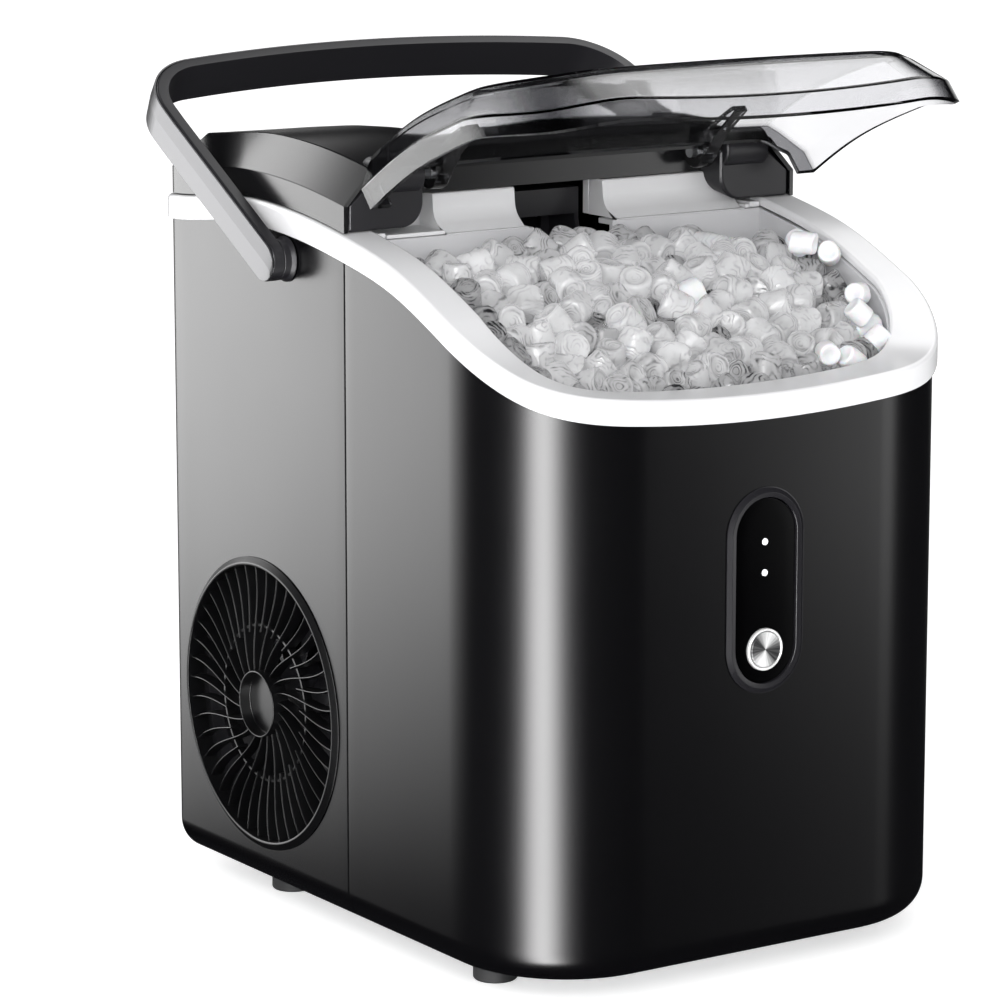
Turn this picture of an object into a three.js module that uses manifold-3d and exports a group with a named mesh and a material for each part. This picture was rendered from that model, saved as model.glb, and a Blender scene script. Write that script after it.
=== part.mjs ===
// Countertop nugget ice maker: a wrapped shell on a base pan, a trim ring that sweeps down to the front,
// a hinged see-through lid, a carrying handle, and the refrigeration and ice-making parts inside.
// Millimetres, +Z up, the control panel faces -Y.

import * as THREE from "three";
import { mergeVertices } from "three/addons/utils/BufferGeometryUtils.js";
import Module from "manifold-3d";

const wasm = await Module();
wasm.setup();

// ---------------------------------------------------------------- driving sizes

const clearance = 0.3; // between pieces that seat on each other

const body = {
  width: 224,
  depth: 272.6,
  frontRadius: 55.4,
  rearRadius: 6.5,
  wall: 2.4,
  baseFillet: 12.7,
  baseLip: 16, // how far the shells reach in under the base pan
  seamY: -5.8, // joint between the front wrap and the rear shell
};
const foot = { radius: 9, height: 8, round: 1.2, stem: 3, plug: 5, inX: 24, inY: 58.3 };

// Height of the trim's upper edge in the middle of the front, and how far it rises above that further round.
const rimFront = 236.7;
const rise = {
  cornerStart: 2.6,
  cornerMiddle: 9.4,
  cornerEnd: 31.2,
  midSide: 46.7,
  seam: 55.3,
  shoulder: 61.1,
  crest: 62.6,
  rear: 57.8,
};
const rimSeam = rimFront + rise.seam;
const trim = {
  proud: 2,
  height: 10.3,
  flange: 3.6,
  skirt: 1.7,
  sideWidth: 15.5,
  frontWidth: 22,
  round: 2.2,
};

const basin = {
  wall: 2.2,
  behindSeam: 2.8, // from the shells' joint to its rear wall
  floor: 118,
  draft: 4,
  fillet: 14,
  lip: 9,
  lipThick: 2,
  cornerRun: 32,
};
const basket = {
  gap: 5,
  wall: 1.8,
  belowRim: 14.7,
  draft: 5,
  fillet: 12,
  slots: 5,
  slotWidth: 6,
  slotPitch: 30,
};

// The ice outlet's open chute, its hood and its head, which hangs under the rear cover.
const chute = {
  half: 19,
  wall: 2,
  frontIn: 3, // how far its end reaches in over the basin
  aboveBarrel: 6,
  slope: 9,
  sideHigh: 8,
  hoodBack: 23,
  hoodWall: 11,
  belowCover: 15.1,
  head: 42,
};

const cover = {
  wall: 2.4,
  band: 11,
  chamferIn: 8,
  chamferTop: 22,
  edgeIn: 14,
  top: 25.5,
  dish: 5.5,
  dishHalf: 58,
};
const lid = {
  sideIn: 2,
  frontIn: 3.2,
  radiusLess: 8.5, // how much tighter its front corners are than the body's
  seamGap: 4.4,
  wall: 2.2,
  seat: 0.9,
  band: 10,
  chamferIn: 8.5,
  chamferDrop: 4.5,
  edgeIn: 13,
  top: 27,
  crown: 1.6,
  rearFlange: 9,
  open: 42.4,
};
const hinge = {
  behindSeam: 4.8,
  aboveRim: 22,
  eye: 7,
  pin: 2.6,
  armIn: 49.2, // from the body's side to the arm's inner face
  armThick: 7,
  tongue: 24,
  blockWide: 38,
  blockDeep: 20,
  blockRound: 10,
  bar: 9,
  barDrop: 1.5,
};

const handle = {
  behindSeam: 44.8,
  belowRim: 14.5,
  lean: 29.8,
  standoff: 5.6, // from the body's side to the arm's inner face
  skin: 1,
  reach: 129.5,
  arch: 6.5,
  bar: 5.1,
  halfWidth: 10,
  barHalfWidth: 8,
  corner: 20,
  boss: 8.4,
  pin: 3.2,
  plug: 8,
};

const fan = {
  offset: 0.4, // behind the middle of the rear shell's flat side
  aboveFillet: 8.05,
  opening: 58.5,
  flangeWide: 3.5,
  flangeThick: 1.2,
  collar: 6,
  hub: 14.1,
  hubProud: 2.7,
  hubWall: 1.1,
  longVanes: 21,
  vaneThick: 1.5,
  vaneDeep: 5,
  sweep: 20,
  hump: 2.5,
  midRing: 33,
  rotorLess: 6.5, // how much smaller the rotor is than the opening
  rotorIn: 12,
  rotorDeep: 16,
  rotorHub: 17,
  hubDeep: 10.5,
  bladeHalf: 13,
  blades: 7,
  shaft: 2.2,
  motorRadius: 18,
  motorLong: 22,
};

const panel = {
  z: 158.1,
  width: 37.8,
  height: 82.7,
  border: 4.1,
  proud: 1.4,
  buttonDrop: 1.25, // below the centre of the panel's lower round end
  ringWide: 1.34,
  capRadius: 7.1,
  travel: 1.5,
  upperLight: 19.4,
  lowerLight: 7,
  ledRadius: 1.3,
  collar: 6,
  glassThick: 2,
  boardDeep: 9,
};

// The body stands a little forward, so that the open lid and the leaning handle reach out evenly.
const standForward = 5;

// ---------------------------------------------------------------- materials

const finish = (color, roughness, metalness = 0, opacity = 1) =>
  new THREE.MeshStandardMaterial({ color, roughness, metalness, opacity, transparent: opacity < 1 });

const glossBlack = finish(0x131316, 0.22);
const satinBlack = finish(0x1b1b20, 0.42);
const whiteGloss = finish(0xf2f2f4, 0.3);
const linerGrey = finish(0xcfd0d4, 0.45);
const smokeClear = finish(0x55565c, 0.06, 0, 0.35);
const blackGlass = finish(0x08080a, 0.08);
const silver = finish(0xc9cacd, 0.32, 0.8);
const spunSteel = finish(0xd5d6d8, 0.25, 1);
const sheetSteel = finish(0x9a9da2, 0.4, 0.9);
const copper = finish(0xb5713f, 0.35, 1);
const rubberBlack = finish(0x202022, 0.8);
const foamGrey = finish(0x4a4b4f, 0.9);
const boardGreen = finish(0x1e5b3a, 0.6);
const clearPlastic = finish(0xe9edf0, 0.15, 0, 0.6);
const litWhite = finish(0xffffff, 0.3);

// ---------------------------------------------------------------- solids

const degrees = Math.PI / 180;
const v2 = (x, y) => new THREE.Vector2(x, y);
const v3 = (x, y, z) => new THREE.Vector3(x, y, z);

// Keeps the corners only, shared where they meet, and turns the faces outward.
function closed(geometry) {
  const bare = new THREE.BufferGeometry();
  bare.setAttribute("position", geometry.getAttribute("position").clone());
  bare.setIndex(geometry.getIndex());
  const merged = mergeVertices(bare, 1e-4);
  const point = merged.getAttribute("position");
  const corners = [v3(0, 0, 0), v3(0, 0, 0), v3(0, 0, 0)];
  const kept = [];
  let volume = 0;
  for (let i = 0; i < merged.index.count; i += 3) {
    const [a, b, c] = [0, 1, 2].map((k) => merged.index.getX(i + k));
    if (a === b || b === c || c === a) continue;
    kept.push(a, b, c);
    [a, b, c].forEach((index, k) => corners[k].fromBufferAttribute(point, index));
    volume += corners[0].dot(corners[1].clone().cross(corners[2]));
  }
  if (volume < 0) kept.reverse();
  merged.setIndex(kept);
  return merged;
}

function solidOf(geometry) {
  const merged = closed(geometry);
  const mesh = new wasm.Mesh({
    numProp: 3,
    vertProperties: new Float32Array(merged.getAttribute("position").array),
    triVerts: new Uint32Array(merged.index.array),
  });
  return new wasm.Manifold(mesh);
}

function geometryOf(solid) {
  const mesh = solid.getMesh();
  const geometry = new THREE.BufferGeometry();
  geometry.setAttribute("position", new THREE.BufferAttribute(new Float32Array(mesh.vertProperties), 3));
  geometry.setIndex(new THREE.BufferAttribute(new Uint32Array(mesh.triVerts), 1));
  return geometry;
}

const join = (...geometries) =>
  geometryOf(geometries.map(solidOf).reduce((whole, piece) => whole.add(piece)));

const cut = (base, ...tools) =>
  geometryOf(tools.map(solidOf).reduce((whole, tool) => whole.subtract(tool), solidOf(base)));

function block(x0, x1, y0, y1, z0, z1) {
  const box = new THREE.BoxGeometry(x1 - x0, y1 - y0, z1 - z0);
  return box.translate((x0 + x1) / 2, (y0 + y1) / 2, (z0 + z1) / 2);
}

// Turns a geometry built along +Z so that it runs along another axis: the shape's x and y become
// y and z for axis X, and x and z for axis Y.
function aimed(geometry, axis) {
  const basis = {
    X: [v3(0, 1, 0), v3(0, 0, 1), v3(1, 0, 0)],
    Y: [v3(1, 0, 0), v3(0, 0, 1), v3(0, 1, 0)],
    Z: [v3(1, 0, 0), v3(0, 1, 0), v3(0, 0, 1)],
  }[axis];
  return geometry.applyMatrix4(new THREE.Matrix4().makeBasis(...basis));
}

function extruded(axis, outline, from, to, curveSegments = 12) {
  const shape = outline instanceof THREE.Shape ? outline : new THREE.Shape(outline);
  const geometry = new THREE.ExtrudeGeometry(shape, { depth: to - from, bevelEnabled: false, curveSegments });
  return aimed(geometry.translate(0, 0, from), axis);
}

// A turned piece: profile is [radius, distance along the axis] pairs, centred at the given point.
function turned(axis, centre, profile, segments = 32) {
  const points = profile.map(([radius, along]) => v2(radius, along));
  const geometry = new THREE.LatheGeometry(points, segments).rotateX(Math.PI / 2);
  return aimed(geometry, axis).translate(...centre);
}

const rod = (axis, centre, radius, from, to, segments = 24) =>
  turned(axis, centre, [[0, from], [radius, from], [radius, to], [0, to]], segments);

const washer = (axis, centre, inner, outer, from, to, segments = 32) =>
  turned(axis, centre, [[inner, from], [outer, from], [outer, to], [inner, to], [inner, from]], segments);

function stadium(width, height, centreZ) {
  const radius = width / 2;
  const straight = height / 2 - radius;
  const shape = new THREE.Shape();
  shape.absarc(0, centreZ + straight, radius, 0, Math.PI);
  shape.absarc(0, centreZ - straight, radius, Math.PI, 2 * Math.PI);
  return shape;
}

function roundedRectangle(x0, x1, y0, y1, radius) {
  const shape = new THREE.Shape();
  shape.absarc(x1 - radius, y1 - radius, radius, 0, Math.PI / 2);
  shape.absarc(x0 + radius, y1 - radius, radius, Math.PI / 2, Math.PI);
  shape.absarc(x0 + radius, y0 + radius, radius, Math.PI, 1.5 * Math.PI);
  shape.absarc(x1 - radius, y0 + radius, radius, 1.5 * Math.PI, 2 * Math.PI);
  return shape;
}

function tube(points, radius, steps, sides = 6) {
  const ring = new THREE.Shape();
  ring.absarc(0, 0, radius, 0, 2 * Math.PI);
  const extrudePath = new THREE.CatmullRomCurve3(points);
  return new THREE.ExtrudeGeometry(ring, { steps, extrudePath, curveSegments: sides / 2, bevelEnabled: false });
}

// Skins a row of rings that hold equally many points. Each ring is a closed section; an open row gets end
// caps, triangulated in the plane that flat() maps a point to.
function loft(rings, loop, flat = null) {
  const count = rings[0].length;
  const points = rings.flat();
  const index = [];
  const spans = loop ? rings.length : rings.length - 1;
  for (let i = 0; i < spans; i++) {
    const here = i * count;
    const next = ((i + 1) % rings.length) * count;
    for (let k = 0; k < count; k++) {
      const j = (k + 1) % count;
      index.push(here + k, here + j, next + j, here + k, next + j, next + k);
    }
  }
  if (!loop) {
    [0, rings.length - 1].forEach((ring, side) => {
      const outline = rings[ring].map(flat);
      const { area, triangulateShape } = THREE.ShapeUtils;
      triangulateShape(outline, []).forEach((face) => {
        const alongOutline = area(face.map((k) => outline[k])) > 0 === area(outline) > 0;
        const order = alongOutline === (side === 1) ? face : [...face].reverse();
        index.push(...order.map((k) => ring * count + k));
      });
    });
  }
  const geometry = new THREE.BufferGeometry().setFromPoints(points);
  geometry.setIndex(index);
  return geometry;
}

// ---------------------------------------------------------------- plan outline and rim curve

const halfWidth = body.width / 2;
const halfDepth = body.depth / 2;
const cornerY = body.frontRadius - halfDepth; // where the front corners run into the straight sides
const rearCornerY = halfDepth - body.rearRadius;
const run = {
  cornerStart: halfWidth - body.frontRadius,
  cornerEnd: halfWidth - body.frontRadius + (body.frontRadius * Math.PI) / 2,
};
const sideRun = (y) => run.cornerEnd + y - cornerY;
run.rear = sideRun(halfDepth) + halfWidth;
const basinRearY = body.seamY + basin.behindSeam;
const basinMiddleY = (basinRearY - halfDepth) / 2;
const far = 2 * body.depth; // past everything, for cutting tools
const under = 2.5 * trim.sideWidth; // how far the hollow of the lid or of the cover is carried down

const rimStops = [
  [0, rimFront],
  [run.cornerStart, rimFront + rise.cornerStart],
  [(run.cornerStart + run.cornerEnd) / 2, rimFront + rise.cornerMiddle],
  [run.cornerEnd, rimFront + rise.cornerEnd],
  [sideRun((cornerY + body.seamY) / 2), rimFront + rise.midSide],
  [sideRun(body.seamY), rimFront + rise.seam],
  [sideRun(body.seamY + (rearCornerY - body.seamY) * 0.3), rimFront + rise.shoulder],
  [sideRun(body.seamY + (rearCornerY - body.seamY) * 0.6), rimFront + rise.crest],
  [sideRun(rearCornerY), rimFront + rise.rear],
  [run.rear, rimFront + rise.rear],
];

// Height of the trim's upper edge at a distance along the outline, as a smooth curve through the stops.
function rimHeight(distance) {
  const s = Math.min(Math.abs(distance), run.rear);
  const last = rimStops.length - 2;
  const i = Math.min(last, rimStops.filter(([at]) => at <= s).length - 1);
  const slope = (k) => {
    if (k === 0 || k === rimStops.length - 1) return 0;
    return (rimStops[k + 1][1] - rimStops[k - 1][1]) / (rimStops[k + 1][0] - rimStops[k - 1][0]);
  };
  const [s0, z0] = rimStops[i];
  const [s1, z1] = rimStops[i + 1];
  const t = (s - s0) / (s1 - s0);
  const [t2, t3] = [t * t, t * t * t];
  const ends = (2 * t3 - 3 * t2 + 1) * z0 + (3 * t2 - 2 * t3) * z1;
  return ends + (s1 - s0) * ((t3 - 2 * t2 + t) * slope(i) + (t3 - t2) * slope(i + 1));
}

// The same curve read in side view: the height at a depth y.
function sideHeight(y) {
  if (y >= cornerY) return rimHeight(sideRun(Math.min(y, rearCornerY)));
  const turn = Math.asin(Math.min(1, (cornerY - y) / body.frontRadius));
  return rimHeight(run.cornerEnd - body.frontRadius * turn);
}

const steps = (from, to, pieces) =>
  Array.from({ length: pieces + 1 }, (_, i) => from + ((to - from) * i) / pieces);

// Stations round the front, from the left side at y = from, round both front corners, to the right side.
// Each holds a point on the outline, its outward direction and its distance along the body's outline.
function frontStations(from, plan = {}) {
  const { half = halfWidth, front = halfDepth, radius = body.frontRadius } = plan;
  const { sides = 5, corner = 8, face = 3 } = plan;
  const centreY = radius - front;
  const quarter = [];
  steps(from, centreY, sides).forEach((y) => {
    const share = (from - y) / (from - centreY);
    const at = sideRun(from) + (run.cornerEnd - sideRun(from)) * share;
    quarter.push({ x: half, y, nx: 1, ny: 0, run: at });
  });
  steps(0, 90, corner).slice(1).forEach((turn) => {
    const [c, s] = [Math.cos(turn * degrees), Math.sin(turn * degrees)];
    const at = run.cornerEnd - (body.frontRadius * turn * Math.PI) / 180;
    quarter.push({ x: half - radius + radius * c, y: centreY - radius * s, nx: c, ny: -s, run: at });
  });
  steps(1, 0, face).slice(1).forEach((share) => {
    quarter.push({ x: (half - radius) * share, y: -front, nx: 0, ny: -1, run: run.cornerStart * share });
  });
  const left = quarter.map((s) => ({ ...s, x: -s.x, nx: -s.nx }));
  return [...left, ...quarter.slice(0, -1).reverse()];
}

// Stations round the back, from the right side at y = from, round both rear corners, to the left side.
function rearStations(from, sides = 7) {
  const side = steps(from, rearCornerY, sides);
  const half = side.map((y) => ({ x: halfWidth, y, nx: 1, ny: 0, run: sideRun(y) }));
  steps(0, 90, 2).slice(1).forEach((turn) => {
    const [c, s] = [Math.cos(turn * degrees), Math.sin(turn * degrees)];
    const x = halfWidth - body.rearRadius + body.rearRadius * c;
    half.push({ x, y: rearCornerY + body.rearRadius * s, nx: c, ny: s, run: sideRun(rearCornerY) });
  });
  half.push({ x: 0, y: halfDepth, nx: 0, ny: 1, run: run.rear });
  return [...half, ...half.slice(0, -1).reverse().map((s) => ({ ...s, x: -s.x, nx: -s.nx }))];
}

// A point inset from a station. Behind the front corners it stays inside the inset rectangle, so that an
// inset larger than a corner's radius meets in a sharp corner.
function inset(station, depth, height) {
  const x = station.x - station.nx * depth;
  const y = station.y - station.ny * depth;
  if (station.y < rearCornerY - body.baseLip) return v3(x, y, height);
  const reach = halfWidth - depth;
  return v3(Math.max(-reach, Math.min(reach, x)), Math.min(y, halfDepth - depth), height);
}

const acrossX = (point) => v2(point.x, point.z);

// ---------------------------------------------------------------- shells, trim and base

const shellTop = (station) => rimHeight(station.run) - trim.flange - clearance;

// Section of the body shell: a flat lip under the base, a round bottom edge and an upright wall.
function shellSection(station) {
  const { wall, baseFillet, baseLip } = body;
  const centreZ = foot.height + baseFillet;
  const inner = baseFillet - wall;
  const outerArc = steps(90, 0, 3).map((turn) => [
    baseFillet - baseFillet * Math.cos(turn * degrees),
    centreZ - baseFillet * Math.sin(turn * degrees),
  ]);
  const innerArc = steps(0, 90, 2).map((turn) => [
    baseFillet - inner * Math.cos(turn * degrees),
    centreZ - inner * Math.sin(turn * degrees),
  ]);
  const section = [
    [baseLip, foot.height],
    ...outerArc,
    [0, shellTop(station)],
    [wall, shellTop(station)],
    ...innerArc,
    [baseLip, foot.height + wall],
  ];
  return section.map(([depth, height]) => inset(station, depth, height));
}

function frontShell() {
  const shell = loft(frontStations(body.seamY - clearance / 2).map(shellSection), false, acrossX);
  const opening = stadium(panel.width - 2 * clearance, panel.height - 2 * clearance, panel.z);
  return cut(shell, extruded("Y", opening, -far, -halfDepth + 2 * body.wall, 6));
}

const vent = { rows: 5, pitch: 14, sideLength: 84, backLength: 110, backRise: 40, half: 2 };
const fanY = (body.seamY + rearCornerY) / 2 + fan.offset;
const fanZ = foot.height + body.baseFillet + fan.aboveFillet + fan.opening;
const pivotY = body.seamY + handle.behindSeam;
const pivotZ = rimSeam - handle.belowRim;
const armInner = halfWidth + handle.standoff;
const armOuter = armInner + handle.bar + clearance + handle.skin;

// Level slots in the right side and the back, where the warm air is drawn through.
function ventSlots() {
  const { rows, pitch, half } = vent;
  const slot = (centre, length) => {
    const [a, b] = [centre - length / 2, centre + length / 2];
    return [
      v2(a, 0),
      v2(a + half, -half),
      v2(b - half, -half),
      v2(b, 0),
      v2(b - half, half),
      v2(a + half, half),
    ];
  };
  const levels = steps(0, rows - 1, rows - 1).map((row) => fanZ + (row - (rows - 1) / 2) * pitch);
  const [sideSlot, backSlot] = [slot(fanY, vent.sideLength), slot(0, vent.backLength)];
  const within = 2 * body.wall;
  const side = levels.map((z) => extruded("X", sideSlot, halfWidth - within, far).translate(0, 0, z));
  const raised = levels.slice(2).map((z) => z + vent.backRise);
  const back = raised.map((z) => extruded("Y", backSlot, halfDepth - within, far).translate(0, 0, z));
  return [...side, ...back];
}

const drain = { x: -70, z: 44, radius: 9, hole: 6, plug: 6, head: 6 };
const inlet = { x: 72, z: 44, width: 27, height: 20, deep: 18, rim: 3, rimThick: 2.2, wall: 2.2 };

function rearShell() {
  const shell = loft(rearStations(body.seamY + clearance / 2).map(shellSection), false, acrossX);
  const within = halfDepth - 2 * body.wall;
  const fanHole = rod("X", [0, fanY, fanZ], fan.opening + 1, -far, 2 * body.wall - halfWidth, 42);
  const drainHole = rod("Y", [drain.x, 0, drain.z], drain.hole, within, far);
  const { x, z, width, height } = inlet;
  const inletHole = block(x - width / 2, x + width / 2, within, far, z - height / 2, z + height / 2);
  const pivotHole = rod("X", [0, pivotY, pivotZ], handle.pin + clearance, -far, far, 20);
  return cut(shell, fanHole, drainHole, inletHole, pivotHole, ...ventSlots());
}

const fullLoop = () => [
  ...frontStations(body.seamY),
  ...rearStations(body.seamY, 7).slice(1, -1),
];

// Width of the trim's top face: wider across the front than along the sides.
function trimWidth(station) {
  const corner = (Math.abs(station.run) - run.cornerStart) / (run.cornerEnd - run.cornerStart);
  const share = Math.min(1, Math.max(0, corner));
  const eased = share * share * (3 - 2 * share);
  return trim.frontWidth + (trim.sideWidth - trim.frontWidth) * eased;
}

// Section of the trim ring: a skirt over the shell's upper edge, a round shoulder and a top face with a
// rolled inner edge.
function trimSection(station) {
  const top = rimHeight(station.run);
  const width = trimWidth(station);
  const { proud, round, height, flange, skirt } = trim;
  const section = [
    [-proud, -height],
    [-proud, -round],
    [-proud + round * 0.3, -round * 0.3],
    [-proud + round, 0],
    [width - 1.5, 0],
    [width, -1.5],
    [width, -flange],
    [skirt - proud, -flange],
    [skirt - proud, -height],
  ];
  return section.map(([depth, drop]) => inset(station, depth, top + drop));
}

function basePan() {
  const { baseLip, wall } = body;
  const floorZ = foot.height;
  const lipZ = floorZ + wall + clearance;
  const profile = [
    [baseLip + clearance, floorZ],
    [baseLip + clearance, lipZ],
    [baseLip - wall, lipZ],
    [baseLip - wall, lipZ + wall],
    [baseLip + wall, lipZ + wall],
    [baseLip + 1.5 * wall, floorZ + wall],
  ];
  const loop = [
    ...frontStations(body.seamY, { sides: 1, corner: 4, face: 1 }),
    ...rearStations(body.seamY, 1).slice(1, -1),
  ];
  const rings = loop.map((station) => [
    v3(0, 0, floorZ),
    ...profile.map(([depth, height]) => inset(station, depth, height)),
    v3(0, 0, floorZ + wall),
  ]);
  const stem = footPlaces().map(([x, y]) => rod("Z", [x, y, 0], foot.stem + clearance, 0, lipZ + wall, 10));
  const { x0, x1, y0, y1 } = tankSpan;
  const ribs = [x0 + tank.radius, (x0 + x1) / 2, x1 - tank.radius].map((x) =>
    block(x - wall / 2, x + wall / 2, y0 + 12, y1 - 12, floorZ + wall / 2, tankBottom - clearance),
  );
  return cut(join(loft(rings, true), ...ribs), ...stem);
}

function footPlaces() {
  const x = halfWidth - foot.inX;
  const y = halfDepth - foot.inY;
  return [[-x, -y], [x, -y], [-x, y], [x, y]];
}

// A rubber foot with a plug that presses into the base pan.
function footSolid(x, y) {
  const top = foot.height - clearance;
  return turned("Z", [x, y, 0], [
    [0, 0],
    [foot.radius - foot.round, 0],
    [foot.radius, foot.round],
    [foot.radius, top],
    [foot.stem, top],
    [foot.stem, top + foot.plug],
    [0, top + foot.plug],
  ], 8);
}

// ---------------------------------------------------------------- basin, back panel and basket

// Stations round the basin: the front U, closed by a straight rear wall. The U stops short of the rear wall
// by more than any inset, so that the floor's corners don't fold over.
function basinLoop(plan) {
  const y = basinRearY + trim.sideWidth;
  const front = frontStations(basinRearY - basin.cornerRun, plan);
  const at = sideRun(basinRearY);
  return [...front, { x: halfWidth, y, nx: 1, ny: 1, run: at }, { x: -halfWidth, y, nx: -1, ny: 1, run: at }];
}

function basinSolid() {
  const { floor, draft, fillet, wall, lip, lipThick } = basin;
  const outerFloor = floor - wall;
  const rings = basinLoop().map((station) => {
    const width = trimWidth(station);
    const top = rimHeight(station.run) - trim.flange - 2 * clearance;
    const inner = width + 1;
    const outer = inner - wall;
    const profile = [
      [inner + draft + fillet, floor],
      [inner + draft + fillet * 0.3, floor + fillet * 0.3],
      [inner + draft, floor + fillet],
      [inner, top],
      [width - lip, top],
      [width - lip, top - lipThick],
      [outer, top - lipThick],
      [outer + draft, outerFloor + fillet * 0.6],
      [outer + draft + fillet * 0.6, outerFloor],
    ];
    return [
      v3(0, basinMiddleY, floor),
      ...profile.map(([depth, height]) => inset(station, depth, height)),
      v3(0, basinMiddleY, outerFloor),
    ];
  });
  const notch = chute.half + 2 * clearance;
  const notchFront = basinRearY - 1.5 * trim.sideWidth;
  const mouth = block(-notch, notch, notchFront, halfDepth, chuteFrontZ - 2 * chute.wall, far);
  return cut(loft(rings, true), mouth);
}

const back = {
  aboveRim: 12,
  creaseRise: 3,
  footDrop: 1.5,
  lean: 10.5,
  thick: 14,
  chuteGap: 3,
  recessWide: 34,
  rib: 5,
  sill: 1.5,
};

// The panel behind the basin: two sloping fields beside the chute, a recess outside each and an end rib.
function backPanel() {
  const bottom = sideHeight(basinRearY) - trim.flange - clearance;
  const [top, crease, footZ] = [rimSeam + back.aboveRim, rimSeam + back.creaseRise, rimSeam - back.footDrop];
  const footY = basinRearY - clearance;
  const topY = footY + back.lean;
  const wallY = topY + back.thick;
  const outer = halfWidth - trim.sideWidth - clearance;
  const field = outer - back.recessWide;
  const mouthHalf = chute.half + back.chuteGap;
  const slope = (x0, x1) =>
    extruded("X", [
      v2(footY, bottom),
      v2(footY, footZ),
      v2(topY, crease),
      v2(topY, top),
      v2(wallY, top),
      v2(wallY, bottom),
    ], x0, x1);
  const deck = block(-outer, outer, wallY - 4, wallY, bottom, top);
  const sill = block(-outer, outer, footY, wallY, bottom, bottom + back.sill);
  const ribs = [-1, 1].map((side) => {
    const [a, b] = [side * outer, side * (outer - back.rib)].sort((p, q) => p - q);
    return block(a, b, footY, wallY, bottom, crease - back.rib);
  });
  const whole = join(slope(-field, -mouthHalf), slope(mouthHalf, field), deck, sill, ...ribs);
  return cut(whole, block(-mouthHalf, mouthHalf, -far, far, bottom - 5, top - 3));
}

function basketSolid() {
  const { gap, wall, draft, fillet, slots, slotWidth, slotPitch } = basket;
  const floor = basin.floor + clearance;
  const top = rimFront - basket.belowRim;
  const rings = basinLoop({ sides: 2, corner: 5, face: 1 }).map((station) => {
    const inner = trimWidth(station) + 1 + gap;
    const profile = [
      [inner + draft + fillet, floor],
      [inner + draft + fillet * 0.3, floor + fillet * 0.3],
      [inner + draft, floor + fillet],
      [inner, top],
      [inner + wall, top],
      [inner + draft + wall, floor + fillet],
      [inner + draft + wall + fillet, floor + wall],
    ];
    return [
      v3(0, basinMiddleY, floor),
      ...profile.map(([depth, height]) => inset(station, depth, height)),
      v3(0, basinMiddleY, floor + wall),
    ];
  });
  const [slotFront, slotRear] = [basinMiddleY - slotPitch, basinMiddleY + 1.5 * slotPitch];
  const cuts = steps(-1, 1, slots - 1).map((share) => {
    const x = (share * slotPitch * (slots - 1)) / 2;
    return block(x - slotWidth / 2, x + slotWidth / 2, slotFront, slotRear, floor - wall, floor + 2 * wall);
  });
  return cut(loft(rings, true), ...cuts);
}

// ---------------------------------------------------------------- rear cover and hinge blocks

// The top face of the rear cover, with a shallow middle dish that fades out towards the hinge.
function coverTop(x, y) {
  const across = Math.min(1, Math.abs(x) / cover.dishHalf);
  const back = Math.min(1, Math.max(0, y / (halfDepth * 0.6)));
  const dip = cover.dish * Math.cos((across * Math.PI) / 2) ** 2 * back * back * (3 - 2 * back);
  return sideHeight(y) + cover.top - dip;
}

// A closed form over the rear part of the plan, shrunk by a wall and carried down past its lower edge.
function coverForm(shrink, frontY, sunk) {
  const { band, chamferIn, chamferTop, edgeIn } = cover;
  const acrossFront = steps(-1, 1, 6).slice(1, -1);
  const front = acrossFront.map((share) => ({ x: share * (halfWidth - edgeIn), y: frontY, front: true }));
  const centreY = (frontY + halfDepth) / 2;
  const rings = [...rearStations(frontY, 5), ...front].map((station) => {
    const base = rimHeight(station.front ? sideRun(frontY) : station.run) + 2 * clearance;
    const place = (depth, height) =>
      station.front ? v3(station.x, frontY, height) : inset(station, depth, height);
    const edge = place(edgeIn, 0);
    const top = [1, 0.6, 0].map((share) => {
      const x = edge.x * share;
      const y = centreY + (edge.y - centreY) * share;
      return v3(x, y, coverTop(x, y) - shrink);
    });
    return [
      v3(0, centreY, rimFront + rise.crest - sunk),
      place(shrink, base - sunk),
      place(shrink, base + band - shrink * 0.4),
      place(chamferIn + shrink * 0.6, base + chamferTop - shrink * 0.6),
      ...top,
    ];
  });
  return loft(rings, true);
}

const [hingeY, hingeZ] = [body.seamY + hinge.behindSeam, rimSeam + hinge.aboveRim];
const armX = halfWidth - hinge.armIn; // inner face of a lid arm
const blockX = halfWidth - hinge.blockWide; // inner face of a hinge block

// The rear cover: a thin shell, open below, with a round bar along its front edge over the hinge pins.
// The bar and the front edge are notched for the lid's two arms.
function rearCover() {
  const shell = cut(coverForm(0, body.seamY, 0), coverForm(cover.wall, body.seamY - 2 * cover.wall, under));
  const half = halfWidth - cover.edgeIn - 1;
  const barRound = rod("X", [0, hingeY, hingeZ], hinge.bar, -half, half, 16);
  const between = blockX - clearance;
  const overBlocks = rimSeam + cover.top - cover.wall + hinge.barDrop;
  const barSpace = join(
    block(-between, between, body.seamY, halfDepth, hingeZ - hinge.barDrop, far),
    block(-halfWidth, halfWidth, body.seamY, halfDepth, overBlocks, far),
  );
  const bar = geometryOf(solidOf(barRound).intersect(solidOf(barSpace)));
  const reach = hinge.eye + 1.5;
  const notches = [-1, 1].map((side) => {
    const middle = side * (armX + hinge.armThick / 2);
    const wide = hinge.armThick / 2 + 1.5;
    return block(middle - wide, middle + wide, -halfDepth, hingeY + reach, hingeZ - reach, far);
  });
  const bore = rod("X", [0, hingeY, hingeZ], hinge.pin + clearance, -halfWidth, halfWidth, 12);
  return cut(join(shell, bar), ...notches, bore);
}

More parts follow.
